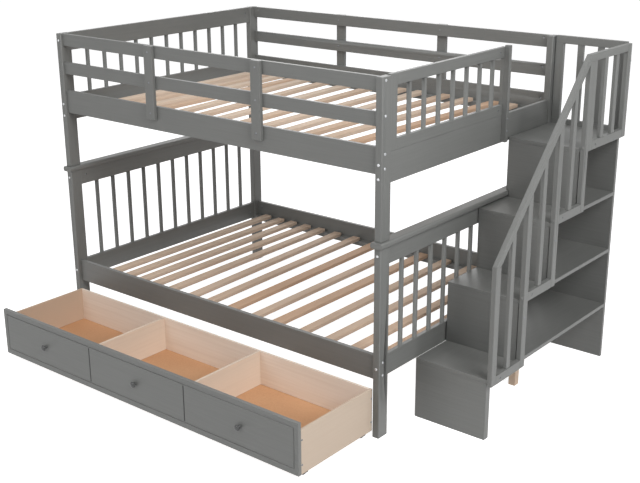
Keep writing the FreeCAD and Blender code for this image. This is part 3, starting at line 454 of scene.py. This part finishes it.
def raw_pine(name, along, tone=None):
    """Planed pine: pale earlywood, darker rings drawn out along the board, dull raw fibre.

    Without a tone of its own, it reads the tone that each board carries.
    """
    material = bpy.data.materials.new(name)
    tree = blank(material)
    place = put(tree, "ShaderNodeTexCoord").outputs["Object"]
    if tone is None:
        tone = put(tree, "ShaderNodeAttribute", attribute_name="tone").outputs["Fac"]
    shift = put(tree, "ShaderNodeCombineXYZ", {axis: tone for axis in "XYZ"}).outputs[0]
    shift = put(tree, "ShaderNodeVectorMath", {0: shift, "Scale": FIGURE_SHIFT},
                operation="SCALE").outputs[0]
    place = put(tree, "ShaderNodeVectorMath", {0: place, 1: shift}, operation="ADD").outputs[0]
    stretch = [1.0 if axis != along else RING_MM / RING_LENGTH_MM for axis in "xyz"]
    drawn = put(tree, "ShaderNodeMapping", {"Vector": place, "Scale": stretch}).outputs[0]
    rings = put(tree, "ShaderNodeTexNoise", {"Vector": drawn, "Scale": 1000 / RING_MM,
                                             "Detail": PINE_DETAIL,
                                             "Distortion": RING_WANDER}).outputs[0]
    fibre = put(tree, "ShaderNodeTexNoise", {"Vector": drawn, "Scale": 1000 / FIBRE_MM,
                                             "Detail": PINE_DETAIL}).outputs[0]
    figure = put(tree, "ShaderNodeMapRange", {"Value": rings, "From Min": PALE_WOOD,
                                              "From Max": DARK_WOOD}).outputs[0]
    figure = put(tree, "ShaderNodeMath", {0: figure, 1: RING_DEPTH},
                 operation="MULTIPLY").outputs[0]
    to_pink = put(tree, "ShaderNodeMapRange", {"Value": tone, "From Min": 0.0,
                                               "From Max": 0.5}).outputs[0]
    to_brown = put(tree, "ShaderNodeMapRange", {"Value": tone, "From Min": 0.5,
                                                "From Max": 1.0}).outputs[0]
    ground = put(tree, "ShaderNodeMix", {0: to_pink, 6: colour(PINE_PALE_HEX),
                                         7: colour(PINE_PINK_HEX)}, data_type="RGBA").outputs[2]
    ground = put(tree, "ShaderNodeMix", {0: to_brown, 6: ground, 7: colour(PINE_BROWN_HEX)},
                 data_type="RGBA").outputs[2]
    dark = put(tree, "ShaderNodeMix", {0: DARK_RING, 6: ground, 7: colour(PINE_BROWN_HEX)},
               data_type="RGBA").outputs[2]
    tint = put(tree, "ShaderNodeMix", {0: figure, 6: ground, 7: dark},
               data_type="RGBA").outputs[2]
    relief = put(tree, "ShaderNodeBump", {"Height": fibre, "Strength": PINE_RELIEF_STRENGTH,
                                          "Distance": PINE_RELIEF}).outputs[0]
    surface = put(tree, "ShaderNodeBsdfPrincipled", {"Base Color": tint, "IOR": SURFACE_IOR,
                                                     "Roughness": PINE_ROUGHNESS,
                                                     "Normal": relief}).outputs[0]
    put(tree, "ShaderNodeOutputMaterial", {"Surface": surface})
    return material


slat_pine = raw_pine("raw_planed_pine_slats", "y")


def lean_of(group):
    """How far a slat lies askew, from its two ends."""
    middle = middle_of(group)
    ends = []
    for rear in (False, True):
        corners = [point for point in group if (point.y > middle[1]) == rear]
        ends.append([sum(axis) / len(axis) for axis in zip(*corners)])
    front_end, rear_end = ends
    return math.atan2(front_end[0] - rear_end[0], rear_end[1] - front_end[1])


def bed_of_slats(name, tones):
    """The slats of one bed in the place of their CAD node."""
    groups = islands(name)
    leans = [lean_of(group) for group in groups]
    middles = [Vector(middle_of(group)) for group in groups]
    straight = [[Matrix.Rotation(-lean, 3, "Z") @ (point - middle) for point in group]
                for group, lean, middle in zip(groups, leans, middles)]
    spans = [span_of(group) for group in straight]
    across = sorted(span[0] for span in spans)[len(spans) // 2]
    piece = grown(name + "_planed", sticks, middles,
                  {"Across": across, "Deep": spans[0][2], "Long": spans[0][1],
                   "Round": SLAT_ROUND, "Ease": SLAT_EASE, "Finish": slat_pine},
                  "root", "raw_pine", tone=list(tones),
                  turn=[(-math.pi / 2, 0, lean) for lean in leans],
                  breadth=[(span[0] / across, 1, 1) for span in spans])
    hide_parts(name)


bed_of_slats("slats_upper", UPPER_TONES)
bed_of_slats("slats_lower", LOWER_TONES)


# ---- Guard beside the way in ----
# A small gate-like panel of rails, stiles and balusters stands on the foot board, with a
# board on edge at its open end. It has the paint of the bed.

dress(painted_along["y"], "entry_guard_rails")
dress(painted_along["z"], "entry_guard_stiles", "entry_guard_edge_board")
baluster_row("entry_guard_balusters")


# ---- Stairs ----
# Risers, treads, platform and back panel are painted board with eased edges, open at the
# side as shelves. One raw pine leg stands under the first tread, and shows at its foot.

STAIR_EDGE = 0.0015
LEG_TONE = 0.35

dress(painted_along["x"], "riser_1", "riser_2", "riser_3", "riser_4", "stair_back_panel",
      edge=STAIR_EDGE)
dress(painted_along["y"], "tread_1", "tread_2", "tread_3", "stair_platform", edge=STAIR_EDGE)
dress(raw_pine("raw_planed_pine_leg", "z", LEG_TONE), "stair_leg")


# ---- Railings of the stairs ----
# The handrail climbs over sawn stiles and balusters and runs level beside the platform.
# A second low guard stands behind the platform. All are painted pine.

dress(painted_along["y"], "handrail", "stair_rail_bottom_rails")
dress(painted_along["z"], "stair_rail_stiles", "stair_rail_balusters", "rear_guard_uprights")
dress(painted_along["x"], "rear_guard_rails")


# ---- Drawer ----
# A low box of thin raw board on castors, in three compartments with brown hardboard
# bottoms. Its painted front has V beads round three panels, and a turned knob on each.

BEAD_SHADE_HEX = "#2E2F2E"      # painted shade in the beads between panels
BEAD_SHADE_FROM = 0.0003        # metres below the face of the front
BEAD_SHADE_TO = 0.0015
BEAD_SHADE_MARGIN = 0.034       # the beads along the edges get no painted shade
BOX_HEX = "#CFBDAB"             # the sides; the boards inside the box are paler, which is painted light
BOX_FIGURE_AND_SHADE_HEX = "#C4AD98"       # the figure, and the side at the head end, browner than the other as painted shade
# The inner front, back and dividers are drawn paler than the sides: painted light inside the
# box.
BOX_INNER_PAINTED_LIGHT_HEX = "#F2E5D8"
BOX_DIVIDER_PAINTED_LIGHT_HEX = "#E1D0BF"
# Along the bed, where the painted shade of the head-end side stops.
SHADED_SIDE_BEFORE_X = 0.5
BOX_GRAIN_MM = 11
BOX_GRAIN_LENGTH_MM = 420
BOX_GRAIN_DETAIL = 3.0
BOX_GRAIN_DEPTH = 0.2           # how much darker and warmer the figure is than its board
BOX_PALE, BOX_DARK = 0.4, 0.8   # where in the noise the figure starts and ends
BOX_RELIEF = 0.0001
BOX_RELIEF_STRENGTH = 0.2
BOX_ROUGHNESS = 0.68
HARDBOARD_HEX = "#CB9D76"
HARDBOARD_DARK_HEX = "#BD8E68"
HARDBOARD_FLECK_MM = 6          # pressed fibres are 1 mm; drawn coarser so that they show
HARDBOARD_DETAIL = 4.0
HARDBOARD_GRIT = 0.6
HARDBOARD_PATCHES = 4.0         # patches to a metre
FLECKS_PALE, FLECKS_DARK = 0.8, 1.3     # flecks and patches together, from pale to dark
HARDBOARD_ROUGHNESS = 0.5
BEADED_EDGE = 0.0008
THIN_EDGE = 0.001
KNOB_HEX = "#454646"
KNOB_ROUGHNESS = (0.2, 0.34)
KNOB_DUST = 400.0               # specks of dust to a metre
KNOB_SIDES = 32
KNOB_RINGS_MM = ((8.0, 0), (8.4, 0.8), (8.0, 1.8), (6.6, 3.2), (5.9, 5.5), (6.4, 7.6),
                 (8.8, 9.6), (12.0, 11.4), (13.7, 13.2), (14.0, 14.8), (13.2, 17.0),
                 (11.0, 19.2), (7.5, 21.0), (3.5, 21.8))
SMOOTH_BELOW = math.radians(35)         # the sharp edges of a turned piece turn more
TWIST_SEED = 7


def bead_shade_painted(tree, tint):
    """The paint of the drawer front, with painted shade in the beads between its panels."""
    low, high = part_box("drawer_front")
    place = put(tree, "ShaderNodeTexCoord").outputs["Object"]
    place = put(tree, "ShaderNodeSeparateXYZ", {0: place}).outputs
    sunk = put(tree, "ShaderNodeMapRange", {"Value": place["Y"],
                                            "From Min": low.y + BEAD_SHADE_FROM,
                                            "From Max": low.y + BEAD_SHADE_TO}).outputs[0]
    for label, start, end in (("X", low.x, high.x), ("Z", low.z, high.z)):
        middle = (start + end) / 2
        away = put(tree, "ShaderNodeMath", {0: place[label], 1: middle},
                   operation="SUBTRACT").outputs[0]
        away = put(tree, "ShaderNodeMath", {0: away}, operation="ABSOLUTE").outputs[0]
        within = put(tree, "ShaderNodeMath", {0: away, 1: end - middle - BEAD_SHADE_MARGIN},
                     operation="LESS_THAN").outputs[0]
        sunk = put(tree, "ShaderNodeMath", {0: sunk, 1: within}, operation="MULTIPLY").outputs[0]
    return put(tree, "ShaderNodeMix", {0: sunk, 6: tint, 7: colour(BEAD_SHADE_HEX)},
               data_type="RGBA").outputs[2]


def thin_board(name, way, near_head, elsewhere):
    """Sanded thin board: an even pale face with faint drawn-out figure and no sheen."""
    material = bpy.data.materials.new(name)
    tree = blank(material)
    place = put(tree, "ShaderNodeTexCoord").outputs["Object"]
    stretch = [1.0 if axis != way else BOX_GRAIN_MM / BOX_GRAIN_LENGTH_MM for axis in "xyz"]
    drawn = put(tree, "ShaderNodeMapping", {"Vector": place, "Scale": stretch}).outputs[0]
    grain = put(tree, "ShaderNodeTexNoise", {"Vector": drawn, "Scale": 1000 / BOX_GRAIN_MM,
                                             "Detail": BOX_GRAIN_DETAIL}).outputs[0]
    figure = put(tree, "ShaderNodeMapRange", {"Value": grain, "From Min": BOX_PALE,
                                              "From Max": BOX_DARK,
                                              "To Max": BOX_GRAIN_DEPTH}).outputs[0]
    # Nearer the head end than this, the board takes its other colour; on the sides that is
    # painted shade.
    along_bed = put(tree, "ShaderNodeSeparateXYZ", {0: place}).outputs["X"]
    far = put(tree, "ShaderNodeMath", {0: along_bed, 1: SHADED_SIDE_BEFORE_X},
              operation="GREATER_THAN").outputs[0]
    ground = put(tree, "ShaderNodeMix", {0: far, 6: colour(near_head), 7: colour(elsewhere)},
                 data_type="RGBA").outputs[2]
    tint = put(tree, "ShaderNodeMix", {0: figure, 6: ground, 7: colour(BOX_FIGURE_AND_SHADE_HEX)},
               data_type="RGBA").outputs[2]
    relief = put(tree, "ShaderNodeBump", {"Height": grain, "Strength": BOX_RELIEF_STRENGTH,
                                          "Distance": BOX_RELIEF}).outputs[0]
    surface = put(tree, "ShaderNodeBsdfPrincipled", {"Base Color": tint, "IOR": SURFACE_IOR,
                                                     "Roughness": BOX_ROUGHNESS,
                                                     "Normal": relief}).outputs[0]
    put(tree, "ShaderNodeOutputMaterial", {"Surface": surface})
    return material


# The drawer front's paint carries painted shade in the beads between its panels.
dress(painted("x", "satin_grey_paint_with_painted_shade_in_beads", bead_shade_painted), "drawer_front",
      edge=BEADED_EDGE)
# Inside the box the board is drawn paler: painted light.
dress(thin_board("painted_light_thin_board_along_bed", "x", BOX_INNER_PAINTED_LIGHT_HEX, BOX_INNER_PAINTED_LIGHT_HEX),
      "drawer_inner_front", "drawer_back", edge=THIN_EDGE)
# The side at the head end is drawn browner: painted shade on its inner face.
dress(thin_board("thin_board_sides_with_painted_shade", "y", BOX_FIGURE_AND_SHADE_HEX, BOX_HEX), "drawer_sides",
      edge=THIN_EDGE)
dress(thin_board("painted_light_thin_board_dividers", "y", BOX_DIVIDER_PAINTED_LIGHT_HEX, BOX_DIVIDER_PAINTED_LIGHT_HEX),
      "drawer_dividers", edge=THIN_EDGE)

# Hardboard: pressed wood fibre, evenly brown with darker flecks, smooth on its good face.
hardboard = bpy.data.materials.new("pressed_hardboard")
tree = blank(hardboard)
place = put(tree, "ShaderNodeTexCoord").outputs["Object"]
fleck = put(tree, "ShaderNodeTexNoise", {"Vector": place, "Scale": 1000 / HARDBOARD_FLECK_MM,
                                         "Detail": HARDBOARD_DETAIL,
                                         "Roughness": HARDBOARD_GRIT}).outputs[0]
patch = put(tree, "ShaderNodeTexNoise", {"Vector": place, "Scale": HARDBOARD_PATCHES,
                                         "Detail": 1.0}).outputs[0]
mottle = put(tree, "ShaderNodeMath", {0: fleck, 1: patch}, operation="ADD").outputs[0]
mottle = put(tree, "ShaderNodeMapRange", {"Value": mottle, "From Min": FLECKS_PALE,
                                          "From Max": FLECKS_DARK}).outputs[0]
tint = put(tree, "ShaderNodeMix", {0: mottle, 6: colour(HARDBOARD_HEX),
                                   7: colour(HARDBOARD_DARK_HEX)}, data_type="RGBA").outputs[2]
surface = put(tree, "ShaderNodeBsdfPrincipled", {"Base Color": tint, "IOR": SURFACE_IOR,
                                                 "Roughness": HARDBOARD_ROUGHNESS}).outputs[0]
put(tree, "ShaderNodeOutputMaterial", {"Surface": surface})
dress(hardboard, "drawer_bottoms", edge=0)


def round_ring(angle):
    """A circle, as the share of a ring's radius at each angle."""
    return 1


def turned(name, rings, sides, unit=0.001):
    """A closed turned piece along Z. Each ring has a radius, a height and maybe an outline."""
    mesh = bmesh.new()
    loops = []
    for radius, height, *outline in rings:
        shape = outline[0] if outline else round_ring
        loops.append([mesh.verts.new((radius * unit * shape(angle) * math.cos(angle),
                                      radius * unit * shape(angle) * math.sin(angle),
                                      height * unit))
                      for angle in (math.tau * step / sides for step in range(sides))])
    for lower, higher in zip(loops, loops[1:]):
        for step in range(sides):
            after = (step + 1) % sides
            mesh.faces.new((lower[step], lower[after], higher[after], higher[step]))
    mesh.faces.new(list(reversed(loops[0])))
    mesh.faces.new(loops[-1])
    bmesh.ops.recalc_face_normals(mesh, faces=mesh.faces)
    for face in mesh.faces:
        face.smooth = True
    for edge in mesh.edges:
        edge.smooth = edge.calc_face_angle(0) < SMOOTH_BELOW
    made = bpy.data.meshes.new(name)
    mesh.to_mesh(made)
    mesh.free()
    pattern = bpy.data.objects.new(name, made)
    scene.collection.objects.link(pattern)
    return pattern


def fastener_tree():
    """One turned pattern set at each place, turned its way, stretched, and twisted by chance."""
    tree = geometry_tree("turned_pieces", [("Pattern", "Object"), ("Twist", "Float"),
                                           ("Finish", "Material")])
    given = put(tree, "NodeGroupInput").outputs
    shape = put(tree, "GeometryNodeObjectInfo", {"Object": given["Pattern"]}).outputs["Geometry"]
    turn = put(tree, "GeometryNodeInputNamedAttribute", {"Name": "turn"},
               data_type="FLOAT_VECTOR").outputs[0]
    stretch = put(tree, "GeometryNodeInputNamedAttribute", {"Name": "stretch"},
                  data_type="FLOAT_VECTOR").outputs[0]
    laid = put(tree, "GeometryNodeInstanceOnPoints",
               {"Points": given["Geometry"], "Instance": shape, "Rotation": turn,
                "Scale": stretch}).outputs[0]
    chance = put(tree, "FunctionNodeRandomValue",
                 {2: 0.0, 3: given["Twist"], "Seed": TWIST_SEED}, data_type="FLOAT").outputs[1]
    spin = put(tree, "ShaderNodeCombineXYZ", {"Z": chance}).outputs[0]
    twisted = put(tree, "GeometryNodeRotateInstances", {"Instances": laid, "Rotation": spin,
                                                        "Local Space": True}).outputs[0]
    real = put(tree, "GeometryNodeRealizeInstances", {"Geometry": twisted}).outputs[0]
    done = put(tree, "GeometryNodeSetMaterial", {"Geometry": real,
                                                 "Material": given["Finish"]}).outputs[0]
    put(tree, "NodeGroupOutput", {"Geometry": done})
    return tree


fasteners = fastener_tree()


def set_in(name, pattern, places, ways, finish, body, slot, stretches=None, twist=0.0):
    """Set a turned pattern at each place, its Z laid along each way."""
    turns = [tuple(Vector(way).to_track_quat("Z", "Y").to_euler()) for way in ways]
    return grown(name, fasteners, places, {"Pattern": pattern, "Twist": twist, "Finish": finish},
                 body, slot, turn=turns, stretch=stretches or [(1, 1, 1)] * len(places))


# Knobs: dark lacquered metal, nearly black, with a small clear highlight.
lacquer = bpy.data.materials.new("dark_lacquered_knob")
tree = blank(lacquer)
place = put(tree, "ShaderNodeTexCoord").outputs["Object"]
dust = put(tree, "ShaderNodeTexNoise", {"Vector": place, "Scale": KNOB_DUST}).outputs[0]
gloss = put(tree, "ShaderNodeMapRange", {"Value": dust, "To Min": KNOB_ROUGHNESS[0],
                                         "To Max": KNOB_ROUGHNESS[1]}).outputs[0]
surface = put(tree, "ShaderNodeBsdfPrincipled", {"Base Color": colour(KNOB_HEX),
                                                 "IOR": SURFACE_IOR,
                                                 "Roughness": gloss}).outputs[0]
put(tree, "ShaderNodeOutputMaterial", {"Surface": surface})

knob = turned("knob_pattern", KNOB_RINGS_MM, KNOB_SIDES)
face_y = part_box("drawer_front")[0].y
knob_spots = [(x, face_y, z) for x, y, z in map(middle_of, islands("drawer_knobs"))]
knobs = set_in("drawer_knobs_turned", knob, knob_spots, [(0, -1, 0)] * len(knob_spots), lacquer,
               "drawer", "dark_knob")
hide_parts("drawer_knobs")
bpy.data.objects.remove(knob)


# ---- Castors ----
# Four small fixed castors under the drawer: a moulded black fork holds a wheel with a
# harder hub and a softer grey tread, on a steel axle.

FORK_HEX = "#232425"
TREAD_HEX = "#4B4C4E"
HUB_HEX = "#2C2D2F"
PLASTIC_GRIT = 900.0    # grains of its texture to a metre
PLASTIC_RELIEF = 0.0001
PLASTIC_RELIEF_STRENGTH = 0.2
PLASTIC_IOR = 1.46
FORK_EDGE = 0.0008
WHEEL_NODES = ("wheel_front_head", "wheel_front_foot", "wheel_rear_head", "wheel_rear_foot")
WHEEL_SIDES = 40
WEB_RADIUS_MM = 12.6    # the hub and the web lie within it, the tread beyond
WHEEL_SMOOTH_BELOW = math.radians(40)
# Radius and place across of each ring of a wheel, from its bore out over one face, the tread
# and back over the other face.
WHEEL_RINGS_MM = ((3.05, -7.0), (5.6, -7.0), (6.4, -6.2), (6.8, -4.4), (12.6, -4.4),
                  (13.2, -5.4), (14.0, -6.6), (15.6, -7.0), (16.8, -6.8), (17.6, -6.0),
                  (18.0, -4.6), (18.0, 4.6), (17.6, 6.0), (16.8, 6.8), (15.6, 7.0),
                  (14.0, 6.6), (13.2, 5.4), (12.6, 4.4), (6.8, 4.4), (6.4, 6.2), (5.6, 7.0),
                  (3.05, 7.0))


def moulded_plastic(name, code, roughness):
    """Injection-moulded plastic: one dark colour, a fine spark-eroded texture, a low sheen."""
    material = bpy.data.materials.new(name)
    tree = blank(material)
    place = put(tree, "ShaderNodeTexCoord").outputs["Object"]
    grit = put(tree, "ShaderNodeTexNoise", {"Vector": place, "Scale": PLASTIC_GRIT}).outputs[0]
    relief = put(tree, "ShaderNodeBump", {"Height": grit, "Strength": PLASTIC_RELIEF_STRENGTH,
                                          "Distance": PLASTIC_RELIEF}).outputs[0]
    surface = put(tree, "ShaderNodeBsdfPrincipled", {"Base Color": colour(code),
                                                     "IOR": PLASTIC_IOR,
                                                     "Roughness": roughness,
                                                     "Normal": relief}).outputs[0]
    put(tree, "ShaderNodeOutputMaterial", {"Surface": surface})
    return material


def castor_wheel(name, tread, hub):
    """A wheel round its axle, with a raised hub, a dished web and a rounded tread."""
    mesh = bmesh.new()
    middle = Vector(middle_of([Vector(corner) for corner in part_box(name)]))
    loops = []
    for radius, across in WHEEL_RINGS_MM:
        loops.append([mesh.verts.new(middle + Vector((across, radius * math.cos(angle),
                                                      radius * math.sin(angle))) / 1000)
                      for angle in (math.tau * step / WHEEL_SIDES
                                    for step in range(WHEEL_SIDES))])
    for index, loop in enumerate(loops):
        following = (index + 1) % len(loops)
        beyond = loops[following]
        inside = max(WHEEL_RINGS_MM[index][0], WHEEL_RINGS_MM[following][0]) <= WEB_RADIUS_MM
        for step in range(WHEEL_SIDES):
            after = (step + 1) % WHEEL_SIDES
            face = mesh.faces.new((loop[step], loop[after], beyond[after], beyond[step]))
            face.smooth = True
            face.material_index = 1 if inside else 0
    bmesh.ops.recalc_face_normals(mesh, faces=mesh.faces)
    for edge in mesh.edges:
        edge.smooth = edge.calc_face_angle(0) < WHEEL_SMOOTH_BELOW
    made = bpy.data.meshes.new(name + "_moulded")
    mesh.to_mesh(made)
    mesh.free()
    made.materials.append(tread)
    made.materials.append(hub)
    wheel = bpy.data.objects.new(name + "_moulded", made)
    scene.collection.objects.link(wheel)
    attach(wheel, name)
    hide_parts(name)


dress(moulded_plastic("moulded_black_castor_fork", FORK_HEX, roughness=0.45),
      "castor_forks", edge=FORK_EDGE)
tread = moulded_plastic("moulded_grey_wheel_tread", TREAD_HEX, roughness=0.6)
hub = moulded_plastic("moulded_black_wheel_hub", HUB_HEX, roughness=0.4)
for name in WHEEL_NODES:
    castor_wheel(name, tread, hub)


# ---- Bolts, cross nuts, screws and pins ----
# Socket-head furniture bolts pass through the posts and draw up slotted cross nuts that
# lie in the boards; cross-recess screws hold the rest. All are zinc-plated steel.

ZINC_HEX = "#C4C6C8"
# The darker zinc of the cross nuts and screws is partly duller plating and partly painted shade,
# such as lies in the holes round the nuts.
ZINC_DULLED_AND_SHADED_HEX = "#86888B"
ZINC_MOTTLE = 350.0     # spots to a metre
CAP_HEX = "#757674"
STAIR_SIDE_X = 2.03     # the bolts of the stair railings, beyond it, wear grey caps
BOLT_SHANK = 0.003
SCREW_SHANK = 0.002
HEAD_BEYOND = 1.3       # a point is on the head if it is this many shank radii off the axis
CROSS_ARM = 0.3         # half the width of a recess or slot, as a share of its ring's radius
SLOT_ARM = 0.24
LEAST = 1e-6


def hexagon(angle):
    """A hexagon, as the share of a ring's radius at each angle."""
    return math.cos(math.pi / 6) / math.cos(angle % (math.pi / 3) - math.pi / 6)


def bar_ring(angle, long, wide):
    """A bar with half sides long and wide, as the share of a ring's radius."""
    return min(long / max(abs(math.cos(angle)), LEAST),
               wide / max(abs(math.sin(angle)), LEAST))


def cross_ring(angle):
    """The cross of a screwdriver's recess."""
    return max(bar_ring(angle, 1, CROSS_ARM), bar_ring(angle, CROSS_ARM, 1))


def slot_ring(angle):
    """The slot in the end of a cross nut."""
    return bar_ring(angle, 1, SLOT_ARM)


HEAD_SIDES = 24
SHANK_SIDES = 12
NUT_SIDES = 32
BOLT_HEAD_RINGS_MM = ((6.1, 0), (6.2, 0.4), (6.0, 1.2), (5.2, 2.2), (4.2, 2.5), (3.1, 2.5),
                      (2.8, 2.2, hexagon), (2.6, 0.6, hexagon))
SCREW_HEAD_RINGS_MM = ((4.3, 0), (4.5, 0.3), (4.3, 1.0), (3.4, 1.8), (2.8, 2.0),
                       (2.5, 1.9, cross_ring), (2.0, 0.7, cross_ring))
CAP_RINGS_MM = ((6.8, 0), (7.0, 0.3), (6.4, 1.2), (4.5, 1.9), (1.5, 2.2))
NUT_RINGS_MM = ((1.1, -3.8, slot_ring), (4.2, -4.0, slot_ring), (4.5, -5.2), (5.0, -4.8),
                (5.0, 4.8), (4.5, 5.2), (4.2, 4.0, slot_ring), (1.1, 3.8, slot_ring))
# A shank has a radius and a length of one, which each bolt or screw stretches to its own.
SHANK_RINGS = ((0.85, -1), (1, -0.97), (1, 0))


def zinc_plate(name, code, smoothest, roughest):
    """Zinc plating: a pale bluish metal with a slight mottle and a blurred reflection."""
    material = bpy.data.materials.new(name)
    tree = blank(material)
    place = put(tree, "ShaderNodeTexCoord").outputs["Object"]
    mottle = put(tree, "ShaderNodeTexNoise", {"Vector": place, "Scale": ZINC_MOTTLE}).outputs[0]
    gloss = put(tree, "ShaderNodeMapRange", {"Value": mottle, "To Min": smoothest,
                                             "To Max": roughest}).outputs[0]
    surface = put(tree, "ShaderNodeBsdfPrincipled", {"Base Color": colour(code), "Metallic": 1.0,
                                                     "Roughness": gloss}).outputs[0]
    put(tree, "ShaderNodeOutputMaterial", {"Surface": surface})
    return material


zinc = zinc_plate("bright_zinc_plated_steel", ZINC_HEX, smoothest=0.24, roughest=0.42)
# Darker zinc for nuts and screws: partly duller plating, partly painted shade.
zinc_dulled_and_shaded = zinc_plate("zinc_plating_dulled_with_painted_shade", ZINC_DULLED_AND_SHADED_HEX, smoothest=0.4, roughest=0.6)
cap_plastic = moulded_plastic("moulded_grey_cover_cap", CAP_HEX, roughness=0.5)
dress(zinc, "post_pins", "castor_axles", edge=0)

bolt_head = turned("bolt_head_pattern", BOLT_HEAD_RINGS_MM, HEAD_SIDES)
screw_head = turned("screw_head_pattern", SCREW_HEAD_RINGS_MM, HEAD_SIDES)
cover_cap = turned("cover_cap_pattern", CAP_RINGS_MM, HEAD_SIDES)
shank = turned("shank_pattern", SHANK_RINGS, SHANK_SIDES, unit=1)
nut_pattern = turned("nut_pattern", NUT_RINGS_MM, NUT_SIDES)


def headed(name, head, radius, body, finish, capped_beyond=math.inf):
    """Bolts or screws in the place of their CAD node: heads or caps outside, shanks inside."""
    spots, ways, stretches = [], [], []
    for group in islands(name):
        spans, middle = span_of(group), middle_of(group)
        axis = spans.index(max(spans))
        wide = [point[axis] for point in group
                if any(abs(point[other] - middle[other]) > radius * HEAD_BEYOND
                       for other in range(3) if other != axis)]
        outward = 1 if sum(wide) / len(wide) > middle[axis] else -1
        spot = list(middle)
        spot[axis] = min(wide) if outward > 0 else max(wide)
        spots.append(spot)
        ways.append([outward if other == axis else 0 for other in range(3)])
        stretches.append((radius, radius, spans[axis] - (max(wide) - min(wide))))
    bare = [index for index, spot in enumerate(spots) if spot[0] < capped_beyond]
    heads = set_in(name + "_heads", head, [spots[index] for index in bare],
                   [ways[index] for index in bare], finish, body, "zinc_steel", twist=math.pi)
    capped = [index for index in range(len(spots)) if index not in bare]
    if capped:
        caps = set_in(name + "_caps", cover_cap, [spots[index] for index in capped],
                      [ways[index] for index in capped], cap_plastic, body, "zinc_steel")
        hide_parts(name)
    shanks = set_in(name + "_shanks", shank, spots, ways, zinc, body, "zinc_steel", stretches)
    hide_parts(name)
    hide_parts(name)


headed("bed_bolts", bolt_head, BOLT_SHANK, "root", zinc, STAIR_SIDE_X)
# The screws and cross nuts below take the darker zinc with its painted shade.
headed("frame_screws", screw_head, SCREW_SHANK, "root", zinc_dulled_and_shaded)
headed("drawer_screws", screw_head, SCREW_SHANK, "drawer", zinc_dulled_and_shaded)

nut_groups = islands("barrel_nuts")
nut_ways = []
for group in nut_groups:
    spans = span_of(group)
    nut_ways.append([1 if axis == spans.index(max(spans)) else 0 for axis in range(3)])
nuts = set_in("barrel_nuts_slotted", nut_pattern, [middle_of(group) for group in nut_groups],
              nut_ways, zinc_dulled_and_shaded, "root", "zinc_steel")
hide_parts("barrel_nuts")
for pattern in (bolt_head, screw_head, cover_cap, shank, nut_pattern):
    bpy.data.objects.remove(pattern)
